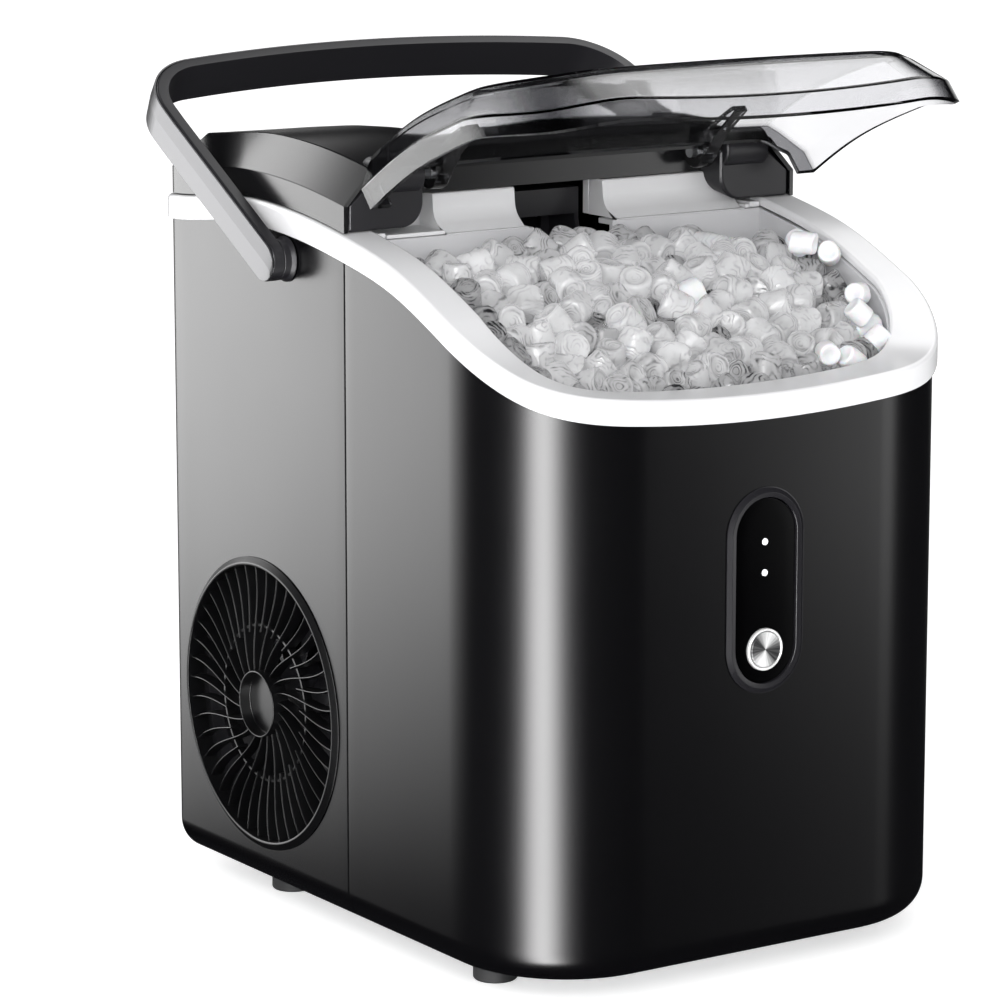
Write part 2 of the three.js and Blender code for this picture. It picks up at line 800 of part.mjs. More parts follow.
// A hinge block fills the front end of the rear cover on one side and carries the lid's pin.
// Its underside follows the trim and its roof follows the cover.
function hingeBlock(side) {
  const wall = cover.wall + clearance;
  const { band, chamferIn, chamferTop, edgeIn } = cover;
  const { blockDeep, blockRound: corner, pin } = hinge;
  const roof = coverTop(halfWidth - edgeIn, body.seamY) - wall;
  const rings = steps(body.seamY + clearance, body.seamY + blockDeep, 3).map((y) => {
    const base = sideHeight(y) + 2 * clearance;
    const round = steps(0, 90, 4).map((turn) => [
      blockX + corner - corner * Math.cos(turn * degrees),
      base + corner - corner * Math.sin(turn * degrees),
    ]);
    const profile = [
      ...round,
      [halfWidth - wall, base],
      [halfWidth - wall, base + band - 1],
      [halfWidth - chamferIn - wall, Math.min(base + chamferTop - wall - clearance, roof - 1)],
      [halfWidth - edgeIn - 1, roof],
      [blockX, roof],
    ];
    return profile.map(([x, z]) => v3(x, y, z));
  });
  const bore = rod("X", [0, hingeY, hingeZ], pin + clearance, 0, blockX + 2 * corner, 12);
  return cut(loft(rings, false, acrossX), bore).scale(side, 1, 1);
}

// ---------------------------------------------------------------- lid

const lidHalf = halfWidth - lid.sideIn;
const lidRearY = body.seamY - lid.seamGap;
const lidPlan = {
  half: lidHalf,
  front: halfDepth - lid.frontIn,
  radius: body.frontRadius - lid.radiusLess,
  sides: 6,
  corner: 7,
  face: 2,
};

function lidTop(x, y) {
  const across = x / lidHalf;
  return sideHeight(y) + lid.top + lid.crown * (1 - across * across);
}

// A closed form of the lid in its shut position, shrunk by a wall and carried down past its lower edge.
function lidForm(shrink, rearY, sunk) {
  const across = steps(1, -1, 6).slice(1, -1);
  const rear = across.map((share) => ({ x: share * (lidHalf - lid.edgeIn), y: rearY, rear: true }));
  const middleY = (lidRearY - halfDepth) * 0.4;
  const rings = [...frontStations(rearY, lidPlan), ...rear].map((station) => {
    const base = station.rear ? sideHeight(rearY) : rimHeight(station.run);
    const place = (depth, height) =>
      station.rear
        ? v3(station.x, rearY, height)
        : v3(station.x - station.nx * depth, station.y - station.ny * depth, height);
    const chamfer = place(lid.chamferIn + shrink * 0.6, 0);
    const edge = place(lid.edgeIn, 0);
    const top = [1, 0.66, 0.33, 0].map((share) => {
      const x = edge.x * share;
      const y = middleY + (edge.y - middleY) * share;
      return v3(x, y, lidTop(x, y) - shrink);
    });
    return [
      v3(0, middleY, sideHeight(middleY) - sunk),
      place(shrink, base + lid.seat - sunk),
      place(shrink, base + lid.seat + lid.band - shrink * 0.4),
      v3(chamfer.x, chamfer.y, lidTop(chamfer.x, chamfer.y) - lid.chamferDrop - shrink * 0.8),
      ...top,
    ];
  });
  return loft(rings, true);
}

function lidShell() {
  const outer = lidForm(0, lidRearY, 0);
  const inner = lidForm(lid.wall, lidRearY - lid.wall, under);
  const rearMouth = lidForm(lid.rearFlange, lidRearY + 2 * lid.wall, under);
  const armRoof = lidTop(armX, lidRearY) - lid.wall;
  const armSlots = [-1, 1].map((side) => {
    const middle = side * (armX + hinge.armThick / 2);
    const wide = hinge.armThick / 2 + clearance;
    return block(middle - wide, middle + wide, lidRearY - 8, lidRearY + 2, sideHeight(lidRearY), armRoof);
  });
  return cut(outer, inner, rearMouth, ...armSlots);
}

// A hinge arm: an eye round the pin and a tongue under the lid's top face.
function lidArm(side) {
  const under = (y) => lidTop(armX, y) - lid.wall - clearance;
  const { eye, tongue, pin, armThick } = hinge;
  const reach = lidRearY - tongue;
  const shape = new THREE.Shape();
  shape.absarc(hingeY, hingeZ, eye, -0.6 * Math.PI, 0.5 * Math.PI);
  shape.lineTo(lidRearY - lid.wall - clearance, under(lidRearY) - 1);
  steps(lidRearY - tongue / 4, reach, 3).forEach((y) => shape.lineTo(y, under(y)));
  shape.lineTo(reach, under(reach) - 3);
  shape.lineTo(lidRearY - tongue / 3, hingeZ - eye * 0.6);
  const arm = extruded("X", shape, armX, armX + armThick, 6);
  const bore = rod("X", [0, hingeY, hingeZ], pin + clearance, 0, halfWidth, 12);
  return cut(arm, bore).scale(side, 1, 1);
}

const hingePin = (side) =>
  rod("X", [0, hingeY, hingeZ], hinge.pin, armX - 2, blockX + 13.5, 12).scale(side, 1, 1);

// ---------------------------------------------------------------- handle

// Stations along the handle's U in its own plane: x across the machine, y along the arms.
function handlePath(outward) {
  const { reach, corner, arch } = handle;
  const half = armOuter - outward;
  const round = corner - outward;
  const points = [v2(half, 0), v2(half, (reach - corner) * 0.5), v2(half, reach - corner)];
  steps(0, 80, 5).slice(1).forEach((turn) => {
    const [c, s] = [Math.cos(turn * degrees), Math.sin(turn * degrees)];
    points.push(v2(half - round + round * c, reach - corner + round * s));
  });
  const [from, to] = [points[points.length - 1], v2(0, reach + arch - outward)];
  steps(0, 1, 4).slice(1).forEach((t) => {
    points.push(v2(from.x * (1 - t), from.y + (to.y - from.y) * (1 - (1 - t) * (1 - t))));
  });
  return [...points, ...points.slice(0, -1).reverse().map((p) => v2(-p.x, p.y))];
}

const handleHalfWidth = (along) => {
  const share = Math.min(1, Math.max(0, (along - handle.reach * 0.7) / (handle.reach * 0.3)));
  return handle.halfWidth + (handle.barHalfWidth - handle.halfWidth) * share;
};

// A strip between two offsets of the U, as wide as the handle, with rounded long edges.
function handleStrip(outer, inner, edge) {
  const outside = handlePath(outer);
  const inside = handlePath(inner);
  const rings = outside.map((p, i) => {
    const q = inside[i];
    const half = handleHalfWidth(p.y);
    const lift = handle.halfWidth - handleHalfWidth(p.y);
    const between = (share, z) => v3(p.x + (q.x - p.x) * share, p.y + (q.y - p.y) * share, z + lift);
    return [
      between(0, -half + edge),
      between(edge > 1 ? 0.25 : 0.6, -half),
      between(1, -half),
      between(1, half),
      between(edge > 1 ? 0.25 : 0.6, half),
      between(0, half - edge),
    ];
  });
  return loft(rings, false, (point) => v2(point.x, point.z));
}

// The black frame of the handle with a round end and a pivot bore on each arm.
function handleFrame() {
  const { skin, halfWidth: half, pin } = handle;
  const strip = handleStrip(skin + clearance, skin + clearance + handle.bar, 1.6);
  const ends = [-1, 1].map((side) => {
    const [a, b] = [side * armInner, side * (armOuter - skin - clearance)].sort((p, q) => p - q);
    return rod("X", [0, 0, 0], half, a, b, 14);
  });
  const bore = rod("X", [0, 0, 0], pin + clearance, -far, far, 20);
  return cut(join(strip, ...ends), bore);
}

function handleSkin() {
  const { skin, halfWidth: half } = handle;
  const ends = [-1, 1].map((side) => {
    const [a, b] = [side * armOuter, side * (armOuter - skin)].sort((p, q) => p - q);
    return rod("X", [0, 0, 0], half - 1, a, b, 14);
  });
  return join(handleStrip(0, skin, 1), ...ends);
}

// A round boss between the body and the arm, with a pin through the arm and a plug into the body.
function handlePivot(side) {
  const { skin, boss, pin, plug } = handle;
  const profile = [
    [0, halfWidth - plug],
    [pin, halfWidth - plug],
    [pin, halfWidth + clearance],
    [boss, halfWidth + clearance],
    [boss, armInner - clearance],
    [pin, armInner - clearance],
    [pin, armOuter - skin - clearance],
    [0, armOuter - skin - clearance],
  ];
  return turned("X", [0, pivotY, pivotZ], profile, 12).scale(side, 1, 1);
}

// ---------------------------------------------------------------- fan, grille and condenser

const polar = (radius, angle) => v2(radius * Math.cos(angle * degrees), radius * Math.sin(angle * degrees));

// The swirl of a vane: how far it trails the angle of its outer end, at a share of the way out from the hub.
const swirl = (share) => -fan.sweep * (1 - share) ** 2 + fan.hump * Math.sin(share * Math.PI);

// One S-curved vane, built flat: thin in plan and as deep as the grille.
function vane(angle, fromRadius, toRadius) {
  const pieces = fromRadius > fan.hub ? 2 : 3;
  const middle = steps(fromRadius, toRadius, pieces).map((radius) => {
    const share = (radius - fan.hub) / (fan.opening - fan.hub);
    return polar(radius, angle + swirl(Math.min(1, share)));
  });
  const sides = [-1, 1].map((side) =>
    middle.map((p, i) => {
      const along = middle[Math.min(i + 1, pieces)].clone().sub(middle[Math.max(i - 1, 0)]).normalize();
      return v2(p.x - along.y * side * fan.vaneThick * 0.5, p.y + along.x * side * fan.vaneThick * 0.5);
    }),
  );
  return extruded("Z", [...sides[0], ...sides[1].reverse()], -fan.vaneDeep, 0);
}

// The grille faces +Z here: a flanged rim, a dished hub, long vanes from hub to rim, short ones between.
function fanGrille() {
  const { opening, flangeWide, flangeThick, collar } = fan;
  const { hub, hubProud, hubWall, longVanes, midRing, vaneDeep } = fan;
  const rimRing = turned("Z", [0, 0, 0], [
    [opening, -collar],
    [opening + 0.8, -collar],
    [opening + 0.8, clearance],
    [opening + flangeWide, clearance],
    [opening, flangeThick + clearance],
    [opening, -collar],
  ], 36);
  const hubCup = turned("Z", [0, 0, 0], [
    [0, -vaneDeep],
    [hub, -vaneDeep],
    [hub, hubProud],
    [hub - hubWall, hubProud],
    [hub - hubWall, -hubWall],
    [0, -2 * hubWall],
  ], 21);
  const middleRing = washer("Z", [0, 0, 0], midRing - 0.6, midRing + 0.6, -vaneDeep, -vaneDeep + 1.4, 21);
  const pitch = 360 / longVanes;
  const vanes = Array.from({ length: longVanes }, (_, i) => [
    vane(i * pitch, hub - 0.5, opening + 0.4),
    vane((i + 0.5) * pitch, midRing - 2.5, opening + 0.4),
  ]);
  return join(rimRing, hubCup, middleRing, ...vanes.flat());
}

const fanPlace = (outward) => [-halfWidth + outward, fanY, fanZ];
const rotorRadius = fan.opening - fan.rotorLess;
const motorFace = fan.rotorIn + fan.rotorDeep; // how far in from the shell's side the fan motor's front lies

// The venturi ring round the rotor, with three spokes that carry the motor.
function fanShroud() {
  const wall = 2;
  const from = fan.rotorIn - 3;
  const to = motorFace + 3 * wall;
  const skirt = fan.opening + 2.5;
  const throat = rotorRadius + wall;
  const ring = turned("X", fanPlace(0), [
    [throat, from + wall],
    [skirt, from],
    [skirt, body.wall + clearance],
    [skirt + wall, body.wall + clearance],
    [skirt + wall, from + wall],
    [throat + wall, from + 2 * wall],
    [throat + wall, to],
    [throat, to],
    [throat, from + wall],
  ], 16);
  const seatInner = fan.motorRadius + 2 * clearance;
  const seatOuter = seatInner + 1.5 * wall;
  const seat = washer("X", fanPlace(0), seatInner, seatOuter, to - 2 * wall, to, 14);
  const spokes = [90, 210, 330].map((angle) => {
    const middle = polar((throat + seatOuter) / 2, angle);
    const bar = new THREE.BoxGeometry(throat - seatOuter + wall, 2.5 * wall, 1.5 * wall);
    bar.rotateZ(angle * degrees).translate(middle.x, middle.y, to - wall);
    return aimed(bar, "X").translate(...fanPlace(0));
  });
  return join(ring, seat, ...spokes);
}

function fanMotor() {
  const { shaft, motorRadius, motorLong } = fan;
  return turned("X", fanPlace(0), [
    [0, motorFace - fan.rotorDeep * 0.75],
    [shaft, motorFace - fan.rotorDeep * 0.75],
    [shaft, motorFace + 2],
    [motorRadius, motorFace + 2],
    [motorRadius, motorFace + motorLong - 2],
    [motorRadius * 0.8, motorFace + motorLong],
    [0, motorFace + motorLong],
  ], 14);
}

// A twisted blade: sections at growing radius, each a thin slab that flattens out towards its tip.
function fanBlade() {
  const { rotorHub, bladeHalf } = fan;
  const rings = steps(rotorHub - 1, rotorRadius, 2).map((radius) => {
    const share = (radius - rotorHub) / (rotorRadius - rotorHub);
    const pitch = (42 - 20 * share) * degrees;
    const half = bladeHalf * (1 + 0.4 * share);
    return [[-1, -1], [0, -1], [1, -1], [1, 1], [0, 1], [-1, 1]].map(([across, face]) => {
      const chord = across * half;
      const off = face * 0.7 + bladeHalf * 0.19 * (1 - across * across);
      const along = chord * Math.sin(pitch) + off * Math.cos(pitch);
      const around = chord * Math.cos(pitch) - off * Math.sin(pitch);
      const p = polar(radius, around / radius / degrees);
      return v3(p.x, p.y, along);
    });
  });
  const flat = (point) => v2(Math.atan2(point.y, point.x) * 50, point.z);
  return loft(rings, false, flat);
}

function fanRotor() {
  const { rotorHub: outer, hubDeep: deep, shaft } = fan;
  const [front, rear] = [deep * 0.67, -deep * 0.33];
  const hub = turned("Z", [0, 0, 0], [
    [shaft + clearance, rear],
    [shaft + clearance, front - 3],
    [0, front - 3],
    [0, front],
    [outer - 2, front],
    [outer, front - 2],
    [outer, rear],
    [shaft + clearance, rear],
  ], 14);
  const pitch = (2 * Math.PI) / fan.blades;
  const blades = Array.from({ length: fan.blades }, (_, i) => fanBlade().rotateZ(i * pitch));
  const rotor = join(hub, ...blades);
  return aimed(rotor, "X").scale(-1, 1, 1).translate(...fanPlace(fan.rotorIn + fan.rotorDeep / 2));
}

const coil = { gap: 4, thick: 14, halfY: 52, halfZ: 58, fins: 7, fin: 1.6, header: 5 };
const coilX = motorFace + fan.motorLong + coil.gap - halfWidth; // the condenser's face towards the fan

// The condenser: a block of upright fins between two headers.
function condenser() {
  const { thick, halfY, halfZ, fins, fin, header } = coil;
  const [x0, x1] = [coilX, coilX + thick];
  const [y0, y1] = [fanY - halfY, fanY + halfY];
  const [z0, z1] = [fanZ - halfZ, fanZ + halfZ];
  const rail = header * 0.6;
  const plates = steps(y0 + 2.4 * header, y1 - 2.4 * header, fins - 1).map((y) =>
    block(x0, x1, y - fin / 2, y + fin / 2, z0 + rail, z1 - rail),
  );
  const rails = [z0 + rail, z1 - 2 * rail].map((z) =>
    block(x0 + 2, x1 - 2, y0 + rail, y1 - rail, z, z + rail),
  );
  const headers = [y0, y1 - header].map((y) => block(x0, x1, y, y + header, deckZ + clearance, z1));
  return join(...headers, ...rails, ...plates);
}

// ---------------------------------------------------------------- refrigeration and ice making

const deckZ = foot.height + body.wall; // upper face of the base pan

const panEdgeX = halfWidth - body.baseLip - 1.5 * body.wall; // inner foot of the base pan's raised edge
const pot = { beside: 6.4, behind: 1.5, radius: 33, weld: 1.8, height: 112, mount: 26, pad: 7, raised: 8 };
const potX = panEdgeX - pot.beside - pot.mount;
const potY = halfDepth - inlet.deep - pot.behind - pot.weld - pot.radius;

// The hermetic compressor: a drawn steel pot on a three-cornered foot plate.
function compressor() {
  const { radius, weld, height, mount, pad } = pot;
  const z = deckZ + pot.raised;
  const middle = z + height * 0.48;
  const shell = turned("Z", [potX, potY, 0], [
    [0, z],
    [radius * 0.64, z],
    [radius, z + height * 0.16],
    [radius, middle],
    [radius + weld, middle],
    [radius + weld, middle + 3 * weld],
    [radius, middle + 3 * weld],
    [radius * 0.97, z + height * 0.79],
    [radius * 0.64, z + height * 0.955],
    [0, z + height],
  ], 14);
  const half = mount + pad;
  const plate = cut(
    extruded("Z", roundedRectangle(potX - half, potX + half, potY - half, potY + half, pad), z - 3, z + 2, 2),
    ...grommetPlaces().map(([at, y]) => rod("Z", [at, y, 0], 3 + clearance, z - pad, z + pad, 8)),
  );
  return join(shell, plate);
}

const grommetPlaces = () =>
  [[-1, -1], [1, -1], [-1, 1], [1, 1]].map(([x, y]) => [potX + x * pot.mount, potY + y * pot.mount]);

function grommet([x, y]) {
  const plateUnder = deckZ + pot.raised - 3;
  return turned("Z", [x, y, 0], [
    [0, deckZ + clearance],
    [6, deckZ + clearance],
    [6, plateUnder - clearance],
    [3, plateUnder - clearance],
    [3, plateUnder + 5 + clearance],
    [4.6, plateUnder + 5 + clearance],
    [0, plateUnder + 8],
  ], 6);
}

const gearbox = { half: 20, bottom: 44, height: 72, round: 6, collar: 12, motor: 18 };
const roofZ = coverTop(0, body.seamY) - cover.wall - chute.belowCover;
const barrel = {
  behindSeam: 51.8,
  radius: 27,
  flange: 2.5,
  flangeThick: 4,
  bore: 15,
};
const barrelY = body.seamY + barrel.behindSeam;
const barrelBottom = gearbox.bottom + gearbox.height + gearbox.collar;
const barrelTop = roofZ - chute.head;
const chuteFrontZ = barrelTop + chute.aboveBarrel;

// The insulated evaporator barrel with a flange at each end.
function iceBarrel() {
  const { radius, bore, flange, flangeThick } = barrel;
  return turned("Z", [0, barrelY, 0], [
    [bore, barrelBottom],
    [radius + flange, barrelBottom],
    [radius + flange, barrelBottom + flangeThick],
    [radius, barrelBottom + flangeThick],
    [radius, barrelTop - flangeThick],
    [radius + flange, barrelTop - flangeThick],
    [radius + flange, barrelTop],
    [bore, barrelTop],
    [bore, barrelBottom],
  ], 16);
}

// The auger: a core with one raised flight that climbs the barrel.
function auger() {
  const { bore } = barrel;
  const [z0, z1] = [gearbox.bottom + gearbox.height + gearbox.collar / 2, barrelTop - 2 * barrel.flangeThick];
  const turns = 3;
  const sides = 8;
  const rings = steps(0, 1, turns * 7).map((t) => {
    const z = z0 + (z1 - z0) * t;
    return Array.from({ length: sides }, (_, i) => {
      const angle = (i / sides) * 2 * Math.PI;
      const facing = Math.cos(angle - t * turns * 2 * Math.PI);
      const crest = Math.max(0, facing) ** 3 * (z > barrelBottom ? 1 : 0);
      const radius = bore * (0.5 + 0.45 * crest);
      return v3(radius * Math.cos(angle), barrelY + radius * Math.sin(angle), z);
    });
  });
  return loft(rings, false, (point) => v2(point.x, point.y));
}

// The gear motor under the barrel, on a pedestal, with a round collar and its output shaft.
function gearMotor() {
  const { half, bottom, height, round, collar } = gearbox;
  const [y, top] = [barrelY, bottom + height];
  const housing = extruded("Z", roundedRectangle(-half, half, y - half, y + half, round), bottom, top, 2);
  const neck = washer("Z", [0, y, 0], barrel.bore, half - 1, top - 1, top + collar - clearance, 16);
  const motor = rod("Z", [0, y, 0], gearbox.motor, deckZ + round, bottom + 1, 14);
  const legs = [-1, 1].map((side) => {
    const x = side * (half - 3.5);
    return block(x - 2, x + 2, y - half / 2, y, deckZ + clearance, bottom + 2);
  });
  return join(housing, neck, motor, ...legs);
}

// The head on the barrel: it turns the ice forward under a hood, onto an open chute that ends over the basin.
function iceOutlet() {
  const { radius, bore } = barrel;
  const { half, wall, frontIn, slope, sideHigh, hoodBack, hoodWall } = chute;
  const frontY = basinRearY - frontIn;
  const hoodY = basinRearY + hoodBack;
  const backZ = chuteFrontZ + slope;
  const hoodZ = roofZ - hoodWall;
  const backY = barrelY - bore * 0.5;
  const cap = turned("Z", [0, barrelY, 0], [
    [0, barrelTop + clearance],
    [radius + wall, barrelTop + clearance],
    [radius + wall, barrelTop + chute.aboveBarrel],
    [radius - 5, roofZ],
    [0, roofZ],
  ], 16);
  const spout = extruded("X", [
    v2(frontY, chuteFrontZ - wall),
    v2(frontY, chuteFrontZ + sideHigh / 2),
    v2(hoodY - wall, chuteFrontZ + 2 * sideHigh),
    v2(hoodY, hoodZ - wall),
    v2(hoodY, roofZ),
    v2(barrelY, roofZ),
    v2(barrelY, backZ - 2 * wall),
  ], -half, half);
  const throat = extruded("X", [
    v2(frontY - 5, chuteFrontZ),
    v2(frontY - 5, far),
    v2(hoodY - wall, far),
    v2(hoodY - wall, hoodZ),
    v2(backY, hoodZ),
    v2(backY, backZ),
  ], wall - half, half - wall);
  return cut(join(cap, spout), throat, rod("Z", [0, barrelY, 0], bore, barrelTop, hoodZ, 16));
}

const pump = { beside: 7.4, ahead: 52.2, radius: 19, flange: 4, height: 51, nozzle: 4 };
const pumpX = panEdgeX - pump.beside - pump.flange - pump.radius;
const pumpY = body.seamY - pump.ahead;
const pumpTop = deckZ + pump.height;

const tank = {
  sideIn: 30,
  frontIn: 32.3,
  behind: 16.2,
  raised: 4.1,
  headroom: 7.8,
  aside: 5,
  wall: 2.2,
  radius: 16,
};
const tankSpan = {
  x0: tank.sideIn - halfWidth,
  x1: pumpX - pump.radius - pump.flange - tank.aside,
  y0: tank.frontIn - halfDepth,
  y1: body.seamY - tank.behind,
};
const tankBottom = deckZ + tank.raised;

// The open water tank under the basin.
function waterTank() {
  const { x0, x1, y0, y1 } = tankSpan;
  const { wall, radius } = tank;
  const top = basin.floor - basin.wall - tank.headroom;
  const outer = roundedRectangle(x0, x1, y0, y1, radius);
  const inner = roundedRectangle(x0 + wall, x1 - wall, y0 + wall, y1 - wall, radius - wall);
  return cut(extruded("Z", outer, tankBottom, top, 3), extruded("Z", inner, tankBottom + wall, far, 3));
}

function waterPump() {
  const { radius, flange, nozzle } = pump;
  const base = deckZ + clearance;
  const neck = radius * 0.68;
  const casing = turned("Z", [pumpX, pumpY, 0], [
    [0, base],
    [radius + flange, base],
    [radius + flange, base + flange],
    [radius, base + 1.5 * flange],
    [radius, pumpTop - 14],
    [neck, pumpTop - 10],
    [neck, pumpTop],
    [0, pumpTop],
  ], 14);
  return join(casing, rod("X", [0, pumpY, base + 3.5 * nozzle], nozzle, tankSpan.x1 + clearance, pumpX, 8));
}

// Pipes run from port to port and stop just short of each. The last stretch meets its piece squarely.
function pipes() {
  const { radius } = pot;
  const bore = 3; // outer radius of a refrigerant pipe
  const potTop = deckZ + pot.raised + pot.height;
  const barrelSide = barrelY + barrel.radius + clearance;
  const suction = tube([
    v3(potX - radius * 0.36, potY, potTop - pot.height * 0.018),
    v3(potX - radius * 0.36, potY, potTop + 4 * bore),
    v3(barrel.radius * 0.6, barrelSide + 4 * bore, potTop + 14 * bore),
    v3(bore, barrelSide + 4 * bore, potTop + 20 * bore),
    v3(0, barrelSide + 2.5 * bore, potTop + 23.5 * bore),
    v3(0, barrelSide, potTop + 23.5 * bore),
  ], bore, 10);
  const headerY = fanY + coil.halfY - coil.header / 2;
  const level = gearbox.bottom;
  const out = radius + clearance;
  const [c, d] = [Math.cos(135 * degrees), Math.sin(135 * degrees)];
  const discharge = tube([
    v3(potX + out * c, potY + out * d, level),
    v3(potX + (out + 3 * bore) * c, potY + (out + 3 * bore) * d, level),
    v3(0, headerY + 2 * bore, level),
    v3(coilX + coil.thick + 5 * bore, headerY, level),
    v3(coilX + coil.thick + clearance, headerY, level),
  ], bore, 10);
  const hoseRadius = 4;
  const barrelHeight = barrelBottom + barrel.flangeThick * 4;
  const hose = tube([
    v3(pumpX, pumpY, pumpTop + clearance),
    v3(pumpX, pumpY, pumpTop + 5 * hoseRadius),
    v3(pumpX + 1.5 * hoseRadius, pumpY + pump.radius * 2, pumpTop + 10 * hoseRadius),
    v3(barrel.radius + 5 * hoseRadius, barrelY - 10 * hoseRadius, barrelBottom - 1.5 * hoseRadius),
    v3(barrel.radius + 3.5 * hoseRadius, barrelY - 2.5 * hoseRadius, barrelHeight - hoseRadius),
    v3(barrel.radius + 2 * hoseRadius, barrelY, barrelHeight),
    v3(barrel.radius + clearance, barrelY, barrelHeight),
  ], hoseRadius, 12);
  return { suction, discharge, hose };
}

// ---------------------------------------------------------------- control panel

const faceY = -halfDepth;
const buttonZ = panel.z - (panel.height - panel.width) / 2 - panel.buttonDrop;
const ringRadius = panel.capRadius + panel.ringWide;
const lightHeights = [panel.z + panel.upperLight, panel.z + panel.lowerLight];

// The bezel: a round-edged frame proud of the shell, with a collar that fills the opening in it.
function controlBezel() {
  const { width, height, border, proud, z } = panel;
  const radius = width / 2;
  const straight = height / 2 - radius;
  const arc = 10;
  const around = [-1, 1].flatMap((end) =>
    steps(0, 180, arc).map((turn) => {
      const angle = (turn + (end < 0 ? 180 : 0)) * degrees;
      return { c: Math.cos(angle), s: Math.sin(angle), z: z + end * straight };
    }),
  );
  const section = [
    [0, -clearance],
    [0, -proud * 0.6],
    [proud * 0.8, -proud],
    [border, -proud * 0.8],
    [border, panel.collar],
    [2 * clearance, panel.collar],
    [2 * clearance, -clearance],
  ];
  const rings = around.map((at) =>
    section.map(([inward, along]) => {
      const reach = radius - inward;
      return v3(reach * at.c, faceY + along, at.z + reach * at.s);
    }),
  );
  return loft(rings, true);
}

// The glass fills the bezel and is pierced for the button ring and the two lights.
function controlGlass() {
  const { width, height, border, z, glassThick, ledRadius } = panel;
  const inner = border + clearance;
  const glassY = faceY - glassThick * 0.1;
  const outline = stadium(width - 2 * inner, height - 2 * inner, z);
  const sheet = extruded("Y", outline, glassY, glassY + glassThick, 6);
  const lightHoles = lightHeights.map((at) => rod("Y", [0, 0, at], ledRadius + clearance, -far, far, 8));
  return cut(sheet, rod("Y", [0, 0, buttonZ], ringRadius + clearance, -far, far, 20), ...lightHoles);
}

const boardY = faceY + panel.boardDeep;
const switchY = boardY - 2.4; // front of the tact switch behind the button

const ledLens = (z) =>
  turned("Y", [0, faceY, z], [
    [0, -0.5],
    [panel.ledRadius, -0.2],
    [panel.ledRadius, panel.boardDeep - clearance],
    [0, panel.boardDeep - clearance],
  ], 8);

function buttonRing() {
  const { capRadius, proud, collar } = panel;
  return turned("Y", [0, faceY, buttonZ], [
    [capRadius + clearance, -proud + 0.4],
    [capRadius + 0.7, -proud],
    [ringRadius, -proud + 0.4],
    [ringRadius, collar - 1],
    [capRadius + clearance, collar - 1],
    [capRadius + clearance, -proud + 0.4],
  ], 20);
}

// The pressed cap: a shallow dish on a stem that reaches back to the switch.
function buttonCap() {
  const { capRadius, proud, travel } = panel;
  const stemEnd = switchY - faceY - travel - clearance;
  return turned("Y", [0, faceY, buttonZ], [
    [0, -proud + 0.2],
    [capRadius * 0.6, -proud],
    [capRadius - 0.5, -proud - 0.3],
    [capRadius, -proud + 0.2],
    [capRadius, proud + 1],
    [capRadius / 3, proud + 1],
    [capRadius / 3, stemEnd],
    [0, stemEnd],
  ], 18);
}

function controlBoard() {
  const half = panel.width / 2 - 3;
  const [z0, z1] = [buttonZ - 12, lightHeights[0] + 8];
  const sheet = block(-half, half, boardY, boardY + 1.6, z0, z1);
  const contact = block(-3, 3, switchY, boardY + 0.1, buttonZ - 3, buttonZ + 3);
  const sleeve = block(-half + 2, half - 2, boardY + 1.5, boardY + 8, buttonZ - 4, buttonZ + 14);
  return join(sheet, contact, sleeve);
}

// ---------------------------------------------------------------- back fittings

function drainCap() {
  const { x, z, radius, hole, plug, head } = drain;
  const out = halfDepth + clearance;
  return turned("Y", [x, 0, z], [
    [0, halfDepth - plug],
    [hole - clearance, halfDepth - plug],
    [hole - clearance, out],
    [radius, out],
    [radius, out + head - 1],
    [radius - 1, out + head],
    [0, out + head],
  ], 16);
}

function powerInlet() {
  const { x, z, width, height, deep, rim: edge, rimThick, wall } = inlet;
  const place = (half, tall, y0, y1) => block(x - half, x + half, y0, y1, z - tall, z + tall);
  const gap = clearance;
  const shell = join(
    place(width / 2 + edge, height / 2 + edge, halfDepth + gap, halfDepth + gap + rimThick),
    place(width / 2 - gap, height / 2 - gap, halfDepth - deep, halfDepth + gap + rimThick / 2),
  );
  const socket = place(width / 2 - gap - wall, height / 2 - gap - wall, halfDepth + wall - deep, far);
  return cut(shell, socket);
}

// ---------------------------------------------------------------- assembly

const machine = new THREE.Group();
machine.position.y = -standForward;

function add(name, geometry, material, parent = machine) {
  const mesh = new THREE.Mesh(closed(geometry), material);
  mesh.name = name;
  parent.add(mesh);
  return mesh;
}

add("front_shell", frontShell(), glossBlack);
add("rear_shell", rearShell(), glossBlack);
add("trim_ring", loft(fullLoop().map(trimSection), true), whiteGloss);
add("base_pan", basePan(), sheetSteel);
const footNames = ["foot_front_left", "foot_front_right", "foot_rear_left", "foot_rear_right"];
footPlaces().forEach(([x, y], i) => add(footNames[i], footSolid(x, y), rubberBlack));
add("basin", basinSolid(), linerGrey);
add("back_panel", backPanel(), linerGrey);
add("ice_basket", basketSolid(), clearPlastic);
add("rear_cover", rearCover(), satinBlack);

const sides = { left: -1, right: 1 };
Object.entries(sides).forEach(([word, side]) => {
  add("hinge_block_" + word, hingeBlock(side), satinBlack);
  add("hinge_pin_" + word, hingePin(side), sheetSteel);
  add("handle_pivot_" + word, handlePivot(side), satinBlack);
});

// The lid is modelled shut and swung open about its pins.
const lidSwing = new THREE.Group();
lidSwing.position.set(0, hingeY, hingeZ);
lidSwing.rotation.x = -lid.open * degrees;
const lidFrame = new THREE.Group();
lidFrame.position.set(0, -hingeY, -hingeZ);
lidSwing.add(lidFrame);
machine.add(lidSwing);
add("lid", lidShell(), smokeClear, lidFrame);
Object.entries(sides).forEach(([word, side]) => add("lid_arm_" + word, lidArm(side), satinBlack, lidFrame));

